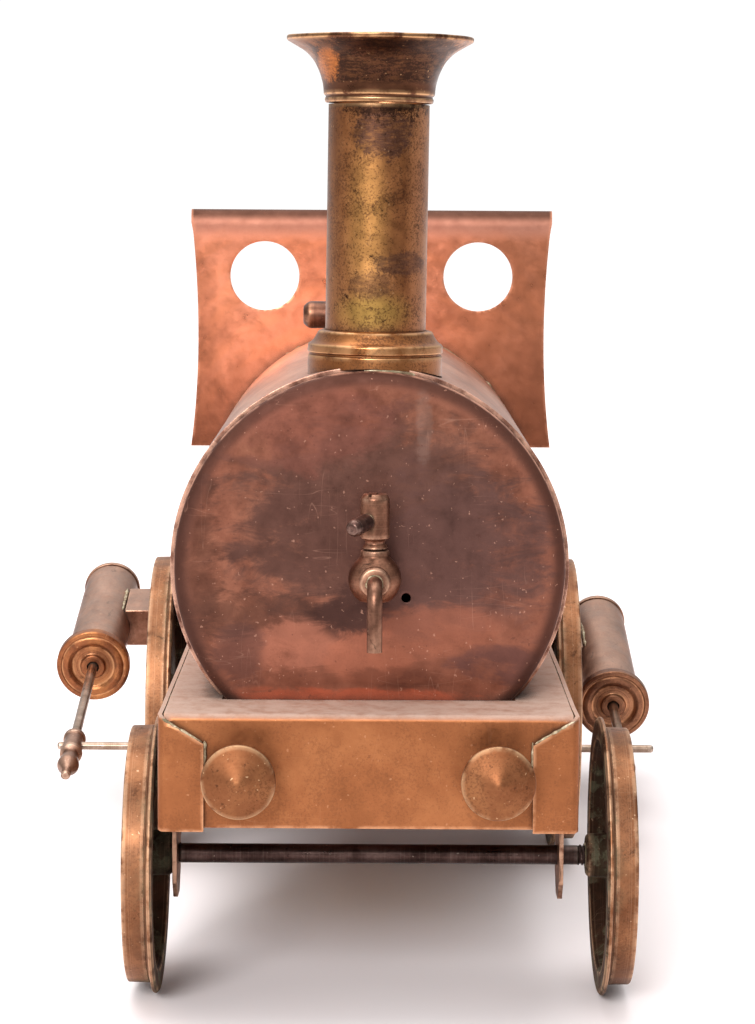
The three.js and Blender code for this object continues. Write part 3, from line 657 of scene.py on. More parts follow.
def plate_zones(g, color):
    """The dished plates: a broad violet-brown stain over the middle and right,
    redder copper above it, bare patches and dark streaks low down, a fiery strip along the frame
    and a rim darkened and roughened as painted shade over its rounded edge. Places and sizes are
    in millimetres."""
    low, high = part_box("boiler_front_plate")
    x, z = (low.x + high.x) / 2, (low.z + high.z) / 2
    jitter = g.plus(g.times(g.swing(48, 6, 0.65, None, 0.8), 1.6),
                    g.times(g.swing(150, 8, 0.72, g.stretch((0.6, 1, 1.5)), 0.6), 2.2))
    for amount, tone, dx, dz, wide, tall, level in (
            (0.85, "63463e", 3, 8, 46, 31, 0.15),
            (0.4, "5a4240", 18, 3, 30, 28, 0.3),
            (0.55, "5a3d36", -14, 6, 22, 17, 0.3),
            (0.65, "5a3a30", -36, 0, 11, 36, 0.2),
            (0.5, "90584a", -12, 28, 26, 14, 0.3),
            (0.6, "50362e", -20, -9.5, 27, 8.5, 0.3),
            (0.75, "452f2b", -4, -9, 12, 8.5, 0.3),
            (0.7, "b0705a", -15.5, -15.5, 15, 8.5, 0.3),
            (0.65, "ad6a52", -0.5, -18.5, 13.5, 8.5, 0.3),
            (0.6, "a3644e", 15, -12.5, 20, 8.5, 0.3),
            (0.6, "543c3c", 24.5, -18.5, 16, 6.5, 0.3),
            (0.55, "543b38", -25, -16, 9, 10, 0.3),
            (0.5, "5a352b", 6, -21.8, 20, 4, 0.3),
            (0.75, "b35c42", 0, -25.5, 37, 3.6, 0.2),
            (0.35, "94766a", 10.5, 28, 3, 12, 0.4)):
        shape = g.blob((x + dx * MM, low.y, z + dz * MM), (wide * MM, 0.08, tall * MM))
        where = g.span(g.plus(shape, jitter), level, level + 0.6)
        color = g.tint(color, g.times(where, g.span(shape, 0.0, 0.25)), amount, tone)
    # Painted shade: the plate's rounded rim is darkened and made rougher.
    radius = high.x - x
    rim = g.span(g.polar(x, z)[2], radius - 0.004, radius - 0.0014)
    g.rougher = g.times(rim, 0.3)
    return g.tint(color, rim, 0.78, "523730")


def round_axle(g):
    """How far a wheel's surface faces away from its own axle, times its
    distance from it, and that distance."""
    front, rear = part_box("front_axle"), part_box("driving_axle")
    normal = g.normal()
    place = g.separate(g.coord)
    behind = g.math("GREATER_THAN", place[1], (front[0].y + rear[1].y) / 2)
    arms = []
    for k in (1, 2):
        near, far = (sum(corner[k] for corner in box) / 2 for box in (front, rear))
        centre = g.plus(g.times(behind, far - near), near)
        arms.append(g.minus(place[k], centre))
    outward = g.plus(g.times(normal[1], arms[0]), g.times(normal[2], arms[1]))
    return outward, g.hypotenuse(*arms)


def wheel_zones(g, color):
    """Hubs, hollows that face the axle and the wheel faces turned towards the engine are darkened
    as painted shade, with a pale green crust over them, and all of it is stained."""
    low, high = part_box("front_axle")
    side = g.minus(g.separate(g.coord)[0], (low.x + high.x) / 2)
    inward = g.times(g.times(side, g.normal()[0]), -1 / abs(high.x))
    outward, distance = round_axle(g)
    hollow = g.span(outward, -0.002, -0.01)
    hub = g.times(g.span(distance, 0.0068, 0.006), g.span(inward, -0.5, -0.2))
    inner = g.math("MAXIMUM", g.span(inward, 0.25, 0.55), g.math("MAXIMUM", hub, hollow))
    # Painted shade: the inward faces, hubs and hollows that face the axle are darkened and made
    # rougher; the pale green crust laid over them is verdigris.
    color = g.tint(color, inner, 0.92, "3b2c24")
    crust = g.span(g.noise(170, 5, 0.7, None, 0.4), 0.5, 0.6)
    color = g.tint(color, g.times(inner, crust), 0.6, "83836b")
    g.rougher = g.times(inner, 0.25)
    stain = g.span(g.noise(60, 6, 0.7, g.stretch((1, 1, 1), shift=(7, 1, 3)), 0.5), 0.48, 0.62)
    return g.tint(color, stain, 0.45, "6f4c38")


def chimney_zones(g, color):
    """Golden brass with dark mottled stains: one under the cap, a band lower
    down the tube and most of the bell's front. Places are in millimetres from
    the tube's top."""
    low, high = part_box("chimney_tube")
    x, y, top = (low.x + high.x) / 2, low.y, high.z
    across, _, height = g.separate(g.coord)
    jitter = g.plus(g.times(g.swing(260, 6, 0.8, None, 0.3), 1.7),
                    g.times(g.swing(1500, 4, 0.8), 1.5))
    drawn = g.noise(900, 6, 0.75, g.stretch((0.45, 0.45, 1.8)))
    gold = g.blob((x - 0.002, y, top - 0.024), (0.006, 0.01, 0.026))
    color = g.tint(color, gold, 0.55, "d09a58")
    # Painted shade down the left flank of the tube, and painted sheen along its right flank.
    color = g.tint(color, g.span(across, x - 0.0052, x - 0.0078), 0.6, "6b4329")
    color = g.tint(color, g.span(across, x + 0.005, x + 0.0085), 0.4, "bd8a66")
    foot = g.blob((x - 0.001, y, top - 0.0405), (0.010, 0.01, 0.0055))
    color = g.tint(color, foot, 0.8, "bd9550")
    for amount, tone, dx, dz, wide, tall, level, bare in (
            (0.9, "5d4038", 1.2, -5.5, 10.5, 9.5, 0.45, 0.45),
            (0.8, "5b4037", 5, -31.2, 9.5, 4.2, 0.45, 0.45),
            (0.7, "6a4838", -1, -35.5, 9, 5.2, 0.55, 0.45),
            (1.0, "35231b", 2, 6.5, 22, 12.5, 0.1, 0.8),
            (0.9, "b06a38", -9.8, 7.5, 3.6, 6.2, 0.45, 0.45)):
        shape = g.blob((x + dx * MM, y, top + dz * MM), (wide * MM, 0.02, tall * MM))
        where = g.times(g.span(g.plus(shape, jitter), level, level + 0.35),
                        g.span(drawn, 0.36, 0.56, bare, 1.0))
        color = g.tint(color, where, amount, tone)
    collar = g.times(g.span(height, top - 0.0004, top + 0.0002),
                     g.span(height, top + 0.0044, top + 0.0032))
    color = g.tint(color, collar, 0.7, "6b4532")
    color = g.tint(color, g.span(height, top - 0.0436, top - 0.0446), 0.55, "8d5730")
    return g.tint(color, g.span(height, top + 0.0115, top + 0.0128), 0.7, "6b4635")


def board_zones(g, color):
    """Bright copper with arcs of heat colour round the boiler, darkened on the right as painted
    shade, darker along the left edge and browner towards the lower corners, dusty with a painted
    highlight where it bends into the roof, and with a painted shade strip along the top of the
    fold."""
    low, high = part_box("weatherboard")
    mid_x = (low.x + high.x) / 2
    across, _, height = g.separate(g.coord)
    wander = g.times(g.minus(g.large, 0.5), 0.05)
    barrel_low, barrel_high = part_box("boiler_barrel")
    side, above, radius = g.polar((barrel_low.x + barrel_high.x) / 2,
                                  (barrel_low.z + barrel_high.z) / 2)
    angle = g.times(g.math("ARCTAN2", side, above), 0.012)
    rings = g.node("CombineXYZ", {0: radius, 1: angle})
    arcs = g.span(g.noise(210, 3, 0.5, rings.outputs[0], 0.3), 0.45, 0.65)
    color = g.tint(color, arcs, 0.35, "f09468")
    sideways = g.plus(across, wander)
    # Painted shade over the right side of the board; a darker strip also runs along its left edge.
    color = g.tint(color, g.span(sideways, mid_x + 0.012, mid_x + 0.045), 0.6, "8f5a3f")
    color = g.tint(color, g.span(sideways, mid_x - 0.03, mid_x - 0.047), 0.5, "94583f")
    foot = g.span(g.plus(height, wander), low.z + 0.036, low.z)
    color = g.tint(color, foot, 0.75, "7c4a36")
    # Dust with a painted highlight: a pale pinkish-grey, rougher band where the sheet bends into
    # the roof.
    dust_and_highlight_band = g.span(height, high.z - 0.0085, high.z - 0.004)
    g.rougher = g.times(dust_and_highlight_band, 0.3)
    color = g.tint(color, dust_and_highlight_band, 0.7, "a07668")
    # Painted shade: a dark strip along the top of the fold, where the sheet turns away.
    return g.tint(color, g.span(height, high.z - 0.0032, high.z - 0.001), 0.9, "583a2e")


def solder_metal():
    g = Graph(bpy.data.materials.new("solder"))
    blotch = g.noise(420, 5, 0.7)
    color = g.ramp(blotch, (0.35, "65503c"), (0.5, "9d8a6d"), (0.66, "e0d5b8"))
    green = g.noise(260, 4, 0.6, g.stretch((1, 1, 1), shift=(4, 9, 2)))
    color = g.tint(color, g.span(green, 0.52, 0.6), 0.3, "7d8467")
    rough = g.span(blotch, 0.3, 0.7, 0.62, 0.38)
    return g.finish(color, rough, g.noise(900, 4, 0.6), 0.5, 0.8, 0.0003)


def wick_cotton():
    g = Graph(bpy.data.materials.new("wick"))
    strands = g.noise(1, 3, 0.6, g.stretch((2600, 2600, 240)))
    color = g.ramp(strands, (0.35, "6a5b45"), (0.5, "b8a684"), (0.65, "ddd0b2"))
    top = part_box("burner_tank")[1].z
    char = g.span(g.separate(g.coord)[2], top - 0.001, top + 0.002)
    color = g.tint(color, char, 0.8, "2b2520")
    return g.finish(color, 0.95, strands, 0.0, 0.9, 0.0004)


METALS = {
    "frame_copper": ("885334 9a603d ad7149 704630 dba27a", dict(
        rough=0.46, dust=1.0, dust_tone="c3a595", specks=0.35, scratch=0.15,
        patina_level=0.68, stipple=0.4, calm=0.3)),
    "boiler_copper": ("7d5245 a8735f c99880 6a473c e8b79e", dict(
        rough=0.34, dust=0.35, dust_tone="c4a592", streak=(1, 0.35, 1), turning=0.1,
        patina_level=0.62, scratch=0.15)),
    "boiler_plate": ("7a4a3a 8c5846 9c6752 5a3a33 d8a48c", dict(
        rough=0.4, patches=40, zones=plate_zones, specks=0.45, scratch=0.18,
        patina_level=0.74, stipple=0.15, calm=0.3)),
    "board_copper": ("cc7c5e dd8a68 ea9b7c aa664a cf9072", dict(
        rough=0.36, zones=board_zones, specks=0.12, scratch=0.15, patches=32,
        patina_level=0.78, stipple=0.05, calm=0.5)),
    "chimney_brass": ("8a5636 aa7046 c68a5a 5c3b2b e6b482", dict(
        rough=0.36, zones=chimney_zones, streak=(1, 1, 0.3), specks=0.4,
        patina_level=0.68, patches=90, stipple=0.9)),
    "buffer_brass": ("75472d 89583a 9e6b47 5a3826 dcb58c", dict(
        rough=0.54, specks=0.8, turning=0.06, patina_level=0.64, stipple=0.7)),
    "fitting_bronze": ("684536 895f4b a97a62 402c26 d2a98e", dict(
        rough=0.42, specks=0.4, turning=0.2, patches=160, verdigris=0.12, stipple=0.35)),
    "head_bronze": ("75594a 987664 b4937f 4a352b dcbfa8", dict(
        rough=0.42, turning=0.2, patches=170)),
    "spout_brass": ("553a2e 7d5847 a27a64 36251e d4af96", dict(
        rough=0.4, patches=150, turning=0.05)),
    "handle_bronze": ("3f2b24 5a3d31 7a5343 2c1d18 c08a6c", dict(
        rough=0.42, patches=150, specks=0.4, turning=0.2)),
    "pipe_copper": ("6d4a39 916854 b0856c 4a3024 e0b592", dict(
        rough=0.34, patches=130, turning=0.05)),
    "wheel_brass": ("744b33 8e6043 a67452 4e3326 dfb896", dict(
        rough=0.5, specks=0.6, verdigris=0.25, turning=0.25, patches=75, zones=wheel_zones,
        crack=0.006, shade_and_grime_tone="35251b", stipple=0.5, scratch=0.2)),
    "cylinder_brass": ("6b4636 8b604c a87b65 4d342a d0a488", dict(
        rough=0.4, dust=0.3, streak=(1, 0.4, 1), turning=0.2, patches=110, stipple=0.3)),
    "cover_brass": ("6c422f 915a3b b4774a 4c2f1f d9a274", dict(
        rough=0.4, turning=0.35, patches=140, stipple=0.4)),
    # A darker copy of cover_brass for the right cover: painted shade, with some tarnish.
    "cover_shade_and_tarnish": ("5e3e30 7c543f 9c6c50 45291f dda074", dict(
        rough=0.36, turning=0.5, patches=140, stipple=0.4)),
    "burner_brass": ("83603a aa8150 c69d68 4f3a25 e8c78f", dict(
        rough=0.4, dust=0.5, patches=80, stipple=0.4, scratch=0.4)),
    "axle_steel": ("2c1f1c 453430 5f4c47 241815 94847a", dict(
        rough=0.34, specks=0.6, turning=0.2, patches=150, dust=0.15,
        dust_tone="6f5d54", scratch=0.15)),
    "rod_steel": ("77604f 97806f b69f8f 54402f decdbd", dict(
        rough=0.34, turning=0.3, patches=170)),
    "dark_steel": ("3c2a26 563e38 70554c 281c1a a0877b", dict(
        rough=0.42, turning=0.3, patches=170)),
}
FINISHES = {name: metal(name, colors, **more) for name, (colors, more) in METALS.items()}
FINISHES["solder"] = solder_metal()
FINISHES["wick"] = wick_cotton()


# -------------------------------------------------------------------- pieces

def piece(name, shape, slot, body, replaces=(), place=None, thick=0.0, bevel=0.12,
          sharp=38, look=None):
    """Puts a shape into the scene as a piece that rides on a CAD body. slot is
    its material in the record, look the finish if that has another name, and
    thick makes a surface into sheet metal of that gauge, on its inner side."""
    mesh = bpy.data.meshes.new(name)
    place = place or Matrix.Identity(4)
    mesh.from_pydata([ORIGIN + (place @ p) * MM for p in shape.points], [], shape.faces)
    for key, values in (("edge", shape.edge), ("along", [a * MM for a in shape.along])):
        mesh.attributes.new(key, "FLOAT", "POINT").data.foreach_set("value", values)
    mesh.polygons.foreach_set("use_smooth", [True] * len(mesh.polygons))
    mesh.set_sharp_from_angle(angle=math.radians(sharp))
    mesh.materials.append(FINISHES[look or slot])
    made = link(name, mesh)
    if thick:
        solid = made.modifiers.new("gauge", "SOLIDIFY")
        solid.thickness = thick * MM
        solid.offset = -1
        rounded = made.modifiers.new("edges", "BEVEL")
        rounded.width = bevel * MM
        rounded.segments = 2
        rounded.limit_method = "ANGLE"
        rounded.angle_limit = math.radians(60)
    made.modifiers.new("normals", "WEIGHTED_NORMAL").keep_sharp = True
    if replaces:
        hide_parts(*replaces)
    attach(made, body)


# --------------------------------------------------------------------- frame

SHEET = 0.8
BEND = 1.4
TAB = 8.7
TOP = box_mm("frame_top_plate")[1].z
LENGTH = box_mm("frame_top_plate")[1].y
SKIRT = box_mm("frame_top_plate")[0].z
INSET = box_mm("frame_top_plate")[1].x
OUTER = box_mm("side_plate_right")[1].x
FACE = box_mm("side_plate_right")[0].y
BOILER_Z = centre_mm("boiler_front_plate").z
BOILER_R = box_mm("boiler_front_plate")[1].x
BOILER_FRONT = box_mm("boiler_front_plate")[0].y
BOILER_REAR = box_mm("boiler_rear_plate")[1].y
BOILER_TOP = BOILER_Z + BOILER_R
CHORD = math.sqrt(BOILER_R ** 2 - (BOILER_Z - TOP) ** 2)  # half the boiler's width at TOP
PIPE_R = 1.5
PIPE_DROP_Y = 199.0


def clamp(value):
    return min(1.0, max(0.0, value))


def along_bends(distance, start, heading, *stretches):
    """The point so far along a folded sheet. A stretch is straight, (length, 0),
    or a quarter bend of a radius to the left or right, (radius, -1 or 1)."""
    at, heading = Vector(start), Vector(heading)
    for size, turn in stretches:
        if not turn:
            if distance <= size:
                break
            at += heading * size
            distance -= size
            continue
        side = Vector((-heading.y, heading.x)) * turn
        angle = distance / size
        if angle <= math.pi / 2:
            return at + (heading * math.sin(angle) + side * (1 - math.cos(angle))) * size
        at += (heading + side) * size
        heading = side
        distance -= size * math.pi / 2
    return at + heading * distance


def make_frame_top():
    flange = TOP - SKIRT - BEND
    arc = BEND * math.pi / 2
    span = LENGTH - 2 * BEND
    total = 2 * flange + 2 * arc + span
    path = [(0.0, SKIRT), (0, 1), (flange, 0), (BEND, -1), (span, 0), (BEND, -1), (flange + 1, 0)]
    gap = 0.3
    half = CHORD + gap

    def v_at(y):
        return flange + arc + (y - BEND)

    front, rear = v_at(BOILER_FRONT - gap), v_at(BOILER_REAR + gap)
    opening = dense([(-half, front), (half, front), (half, rear), (-half, rear)], 3)
    pipe_hole = circle(0, v_at(PIPE_DROP_Y), PIPE_R + gap, 24)
    rows = [start + arc * k / 4 for start in (flange, flange + arc + span) for k in range(5)]
    shape = flat([(-INSET, 0), (INSET, 0), (INSET, total), (-INSET, total)],
                 [opening, pipe_hole], 3.5, rows)

    def fold(p):
        y, z = along_bends(p.y, *path)
        hollow = 0.12 * (1 - ripple(Vector((p.x, y, z)), 23, 2.0)) * clamp((INSET - abs(p.x)) / 6)
        if p.y < flange:
            y += hollow
        elif p.y > flange + 2 * arc + span:
            y -= hollow
        elif flange + arc < p.y < flange + arc + span:
            z -= hollow
        return Vector((p.x, y, z))

    piece("frame_top_sheet", shape.bend(fold), "frame_copper", "chassis",
          ["frame_top_plate"], thick=SHEET)


def make_frame_side(side, sign):
    low, high = box_mm("side_plate_right")
    arc = BEND * math.pi / 2
    front = TAB - BEND
    length = high.y - (FACE + BEND)
    path = [(OUTER - TAB, FACE), (1, 0), (front, 0), (BEND, 1), (length + 1, 0)]
    mitre = 5.5
    total = front + arc + length
    outline = [(0, low.z), (total, low.z), (total, TOP), (front + arc, TOP),
               (front + arc * 0.5, TOP - 0.25), (front, TOP - mitre * BEND / TAB),
               (0, TOP - mitre)]
    columns = [(front + arc * k / 4, low.z + SHEET + 2.4 * j) for k in range(5) for j in range(9)]
    shape = flat(outline, [], 3.5, (), columns)

    def fold(p):
        x, y = along_bends(p.x, *path)
        near = clamp((p.x - front - arc) / 8)
        x -= 0.1 * (1 - ripple(Vector((x, y, p.y)), 25, 5.0 + sign)) * near
        return Vector((x, y, p.y))

    rear_tab = slab((OUTER - TAB, OUTER - SHEET - 0.1),
                    (LENGTH - 2 * SHEET - 0.3, LENGTH - SHEET - 0.35),
                    (low.z, TOP - SHEET - 0.4), 0.2)
    piece(f"side_sheet_{side}", shape.bend(fold).on_side(sign), "frame_copper", "chassis",
          [f"side_plate_{side}"], thick=SHEET)
    piece(f"rear_tab_{side}", rear_tab.on_side(sign), "frame_copper", "chassis")


def bead(name, path, radius, seed, body="chassis"):
    """An uneven run of solder."""
    phase = random.Random(seed).uniform(0, 6)

    def size(t):
        swell = 0.75 + 0.35 * noise.noise(Vector((t * 9 + phase, seed, 0)))
        taper = min(1.0, 8 * t + 0.3, 8 * (1 - t) + 0.3)
        return radius * swell * taper

    piece(name, tube(path, size, 12, wobble=0.9, seed=seed), "solder", body, sharp=60)


def make_frame_solder():
    for side, sign in SIDES:
        start = Vector((sign * (OUTER - 0.9), FACE + 0.15, TOP - 0.7))
        end = Vector((sign * (OUTER - 8.4), FACE + 0.15, TOP - 5.1))
        bead(f"mitre_solder_{side}", [start.lerp(end, k / 14) for k in range(15)], 0.3, 3 + sign)
        drop = [Vector((sign * (OUTER - 8.85), -0.25, TOP - 5 - k * 0.6)) for k in range(9)]
        bead(f"tab_solder_{side}", drop, 0.42, 7 + sign)
        corner = [Vector((sign * (OUTER - 0.95), y, TOP - 0.42)) for y in range(1, 250, 3)]
        bead(f"corner_solder_{side}", corner, 0.28, 11 + sign)
        seam = [Vector((sign * (CHORD + 0.35), y, TOP - 0.05)) for y in range(24, 184, 2)]
        bead(f"boiler_solder_{side}", seam, 0.5, 19 + sign)


def make_buffer(side, sign):
    low, high = box_mm(f"buffer_{side}")
    centre = (low + high) / 2
    radius = (high.x - low.x) / 2
    rivet = lathe([(0, -2.1), (2.0, -2.1, 0.8), (2.6, -1.15), (1.5, -1.1), (1.5, 0.3)], 40)
    disc = lathe([(0, 0.3), (3.2, 0.3), (2.3, 2, 0.6), (2.3, 6, 0.5), (radius - 0.6, 7.1),
                  (radius, 7.35, 0.2), (radius, 8.15, 0.3), (radius * 0.5, 9.7, 2.0),
                  (0.6, 11.0, 0.4), (0, 11.1)])
    rng = random.Random(31 + sign)
    for _ in range(9):
        a, r = rng.uniform(0, 6.28), rng.uniform(1.0, 5.6)
        grain = lathe([(0, 0), (rng.uniform(0.12, 0.3), 0.02), (0, rng.uniform(0.08, 0.16))], 7)
        disc.join(grain.move(r * math.cos(a), r * math.sin(a), 11.05 - r * 0.42))
    shape = forwards(disc.join(rivet)).move(centre.x, 0, centre.z)
    shape.bend(lambda p: p + Vector((0.06 * ripple(p, 6, sign), 0, 0.06 * ripple(p, 6, 4))))
    piece(f"buffer_head_{side}", shape, "buffer_brass", "chassis", [f"buffer_{side}"])


def make_bracket(kind, side, sign):
    node = f"{kind}_{side}"
    low, high = box_mm(node)
    axle = centre_mm(kind.replace("_bracket", ""))
    half = (high.y - low.y) / 2
    mid = (high.y + low.y) / 2
    taper = low.z + 3.4
    right = [(2.2, low.z), (3.0, low.z + 0.3), (half - 0.5, taper), (half, taper + 0.4),
             (half, high.z)]
    outline = [(mid - y, z) for y, z in reversed(right)] + [(mid + y, z) for y, z in right]
    shape = flat(outline, [circle(axle.y, axle.z, 2.15, 32)], 2.2)
    edge_x = high.x if sign > 0 else -low.x
    shape.bend(lambda p: Vector((edge_x, p.x, p.y))).on_side(sign)
    piece(f"{kind}_strip_{side}", shape, "fitting_bronze", "chassis", [node],
          thick=high.x - low.x)


# -------------------------------------------------------------------- boiler

def end_plate(seed, holes=()):
    """A dished plate: flat face, rounded edge and a short skirt."""
    edge, skirt = 2.2, 1.8
    inner = BOILER_R - edge
    arc = edge * math.pi / 2
    rings = [(3, 10), (6, 18), (9, 26), (12, 34), (15, 42), (18, 50), (21, 58), (24, 66),
             (27, 74), (30, 84), (32.5, 96), (34.6, 120), (inner, 160)]
    rings += [(inner + arc * k / 6, 200) for k in range(1, 7)]
    extra = [p for radius, count in rings for p in circle(0, 0, radius, count)]
    shape = flat(circle(0, 0, inner + arc + skirt, 200), holes, 200, (), extra)

    def dish(p):
        rho = math.hypot(p.x, p.y)
        if rho < 1e-6:
            return Vector((0, 0, 0))
        depth = 0.1 * (1 + ripple(Vector((p.x, p.y, seed)), 17)) * max(0, 1 - rho / inner)
        radius = rho
        if rho > inner + arc:
            radius, depth = BOILER_R, edge + rho - inner - arc
        elif rho > inner:
            a = (rho - inner) / edge
            radius, depth = inner + edge * math.sin(a), edge * (1 - math.cos(a))
        return Vector((radius * p.x / rho, depth, radius * p.y / rho))

    shape.bend(dish)
    for i, p in enumerate(shape.points):
        shape.edge[i] = 1.0 if BOILER_R - math.hypot(p.x, p.z) < 0.25 else 0.0
    return shape


def make_boiler():
    hole = circle(7.1, -5.75, 0.9, 28)
    front = end_plate(9, [hole]).move(0, BOILER_FRONT, BOILER_Z)
    piece("front_plate_dish", front, "boiler_plate", "chassis", ["boiler_front_plate"],
          thick=1.0)
    rear = end_plate(2).turn(180, "Z").move(0, BOILER_REAR, BOILER_Z)
    piece("rear_plate_dish", rear, "boiler_plate", "chassis", ["boiler_rear_plate"], thick=1.0)
    low, high = box_mm("boiler_barrel")
    skin = BOILER_R - 0.2
    shape = Shape()
    rings = []
    steps = 90
    for k in range(steps + 1):
        y = low.y + (high.y - low.y) * k / steps
        ring = []
        for a in angles(160):
            way = Vector((math.sin(a), 0, math.cos(a)))
            dent = 0.12 * (1 - ripple(way * skin + Vector((0, y, 0)), 19, 3.0))
            dent *= min(1, k / 4, (steps - k) / 4)
            ring.append(shape.add_point(way * (skin - dent) + Vector((0, y, BOILER_Z)),
                                        1.0 if k in (0, steps) else 0.0, y))
        rings.append(ring)
    shape.skin(rings)
    piece("barrel_tube", shape.flip(), "boiler_copper", "chassis", ["boiler_barrel"], thick=1.0)
    strip = flat([(low.y + 1, -1.0), (high.y - 1, -1.0), (high.y - 1, 1.0), (low.y + 1, 1.0)],
                 [], 2.0)

    def wrap(p):
        a = math.pi + p.y * 2.6 / BOILER_R
        r = BOILER_R - 0.02
        return Vector((r * math.sin(a), p.x, BOILER_Z + r * math.cos(a)))

    piece("barrel_seam", strip.bend(wrap), "boiler_copper", "chassis", thick=0.3)
    for name, y, seed in (("front", low.y - 0.1, 41), ("rear", high.y + 0.1, 47)):
        bead(f"barrel_joint_{name}", hoop((0, y, BOILER_Z), skin - 0.12, 180, Z, X), 0.2, seed)


def make_weatherboard():
    low, high = box_mm("weatherboard")
    fold_r = 4.0
    arc = fold_r * math.pi / 2
    face = high.z - fold_r - low.z
    roof = high.y - low.y - fold_r
    top = high.x
    path = [(low.y, low.z), (0, 1), (face, 0), (fold_r, -1), (roof + 1, 0)]
    foot = 44.45
    ends = Vector((foot, 0)), Vector((40.85, 123.0 - low.z)), Vector((top, high.z - low.z))
    side = [tuple(p) for p in (rounded(*ends, k / 32) for k in range(1, 33))
            if p.y < face - 0.5]
    clear = BOILER_R + 0.3
    start = math.acos((low.z - BOILER_Z) / clear)
    saddle = [(clear * math.sin(a), BOILER_Z + clear * math.cos(a) - low.z)
              for a in (-start + 2 * start * k / 72 for k in range(73))]
    total = face + arc + roof
    right = [(foot, 0), *side, (top - 0.15, face + 0.8), (top, face + arc), (top, total)]
    outline = [(-foot, 0), *saddle, *right, *((-x, v) for x, v in reversed(right[1:]))]
    holes = [circle(sign * 26.3, 138.6 - low.z, 8.5, 72) for sign in (-1, 1)]
    holes.append(circle(0, 127.8 - low.z, 2.0, 24))
    shape = flat(outline, holes, 3.2, [face + arc * k / 8 for k in range(9)])

    def curve(p):
        y, z = along_bends(p.y, *path)
        hollow = 0.25 * (1 - ripple(Vector((p.x, y, z)), 30, 8.0))
        if p.y < face:
            y += hollow * min(1.0, (face - p.y) / 10)
        elif p.y > face + arc:
            z -= hollow * min(1.0, (p.y - face - arc) / 6)
        return Vector((p.x, y, z))

    piece("weatherboard_sheet", shape.bend(curve), "board_copper", "chassis",
          ["weatherboard"], thick=SHEET, bevel=0.16)
    start -= 0.04
    for name, y, radius, seed in (("", low.y - 0.1, 0.75, 53), ("_back", low.y + 1.0, 0.6, 59)):
        arch = [Vector((0, y, BOILER_Z)) + (Z * math.cos(a) + X * math.sin(a)) * (BOILER_R + 0.15)
                for a in (-start + 2 * start * k / 90 for k in range(91))]
        bead(f"weatherboard_solder{name}", arch, radius, seed)


# ------------------------------------------------------------------- chimney

def make_chimney():
    seat = BOILER_TOP
    low, high = box_mm("chimney_tube")
    centre = (low + high) / 2
    lean = math.radians(0.6)
    place = (Matrix.Translation((centre.x - (centre.z - seat) * math.tan(lean), centre.y, seat))
             @ Matrix.Rotation(lean, 4, "Y"))
    r, bore = 10.0, 9.2
    base = lathe(raised([
        (10.15, 112), (13.3, 112), (13.3, 127.0, 0.15), (12.95, 127.3, 0.1), (12.95, 127.5, 0.1),
        (13.4, 127.75, 0.2), (13.35, 129.2, 0.3), (12.4, 129.85, 0.8), (11.7, 130.9, 0.8),
        (11.3, 131.8, 0.3), (10.6, 132.1, 0.15), (10.1, 132.1, 0.1)], -seat), 128)

    def saddle(p):
        if p.z > 119 - seat:
            return p
        z = BOILER_Z + math.sqrt(max(0.0, (BOILER_R + 0.32) ** 2 - (place @ p).x ** 2)) - seat
        z += 0.75 * clamp((p.x - 5) / 5) * clamp((3 - p.y) / 5)
        return Vector((p.x, p.y, z + (0.05 if p.z >= 113 - seat else 0.0)))

    piece("chimney_base_ring", base.bend(saddle), "chimney_brass", "chassis",
          ["chimney_base"], place=place)
    wall = lathe(raised([(bore, 125.4), (r, 125.4), (r, 140), (r, 158), (r, 176.4),
                         (bore, 176.4)], -seat), 128, 0.15)
    wall.bend(lambda p: p + Vector((p.x, p.y, 0)).normalized() * -0.05 * (1 + ripple(p, 12, 6)))
    piece("chimney_tube_wall", wall, "chimney_brass", "chassis", ["chimney_tube"], place=place)
    cap = lathe(raised([
        (bore, 176.7), (10.6, 176.7, 0.3), (10.75, 177.4, 0.2), (10.45, 177.9, 0.2),
        (10.95, 178.3, 0.3), (11.0, 179.2, 0.3), (11.1, 180.2, 0.5), (11.7, 182.4, 1.0),
        (12.9, 184.9, 1.2), (14.6, 186.8, 1.2), (17.4, 188.4, 1.0), (18.5, 189.0, 0.3),
        (18.5, 189.85, 0.3), (17.8, 189.9, 0.3), (13.9, 187.5, 1.2), (12, 185, 1.2),
        (10.8, 182, 1.0)], -seat), 128, 0.2, 4)

    def rim(p):
        out = Vector((p.x, p.y, 0))
        high = max(0.0, (p.z + seat - 183) / 7)
        droop = -0.22 * high * (1 + ripple(out, 9, 3))
        flare = -0.12 * high * (1 + ripple(out, 7, 9))
        return p + Z * droop + out.normalized() * flare

    piece("chimney_cap_bell", cap.bend(rim), "chimney_brass", "chassis", ["chimney_cap"],
          place=place)
    foot = []
    for k in range(63):
        a = math.radians(302 + 4 * k)
        x, y = centre.x + 13.25 * math.sin(a), centre.y + 13.25 * math.cos(a)
        foot.append(Vector((x, y, BOILER_Z + math.sqrt((BOILER_R + 0.05) ** 2 - x * x))))
    bead("chimney_solder", foot, 0.42, 61)


# ----------------------------------------------------------------- water tap

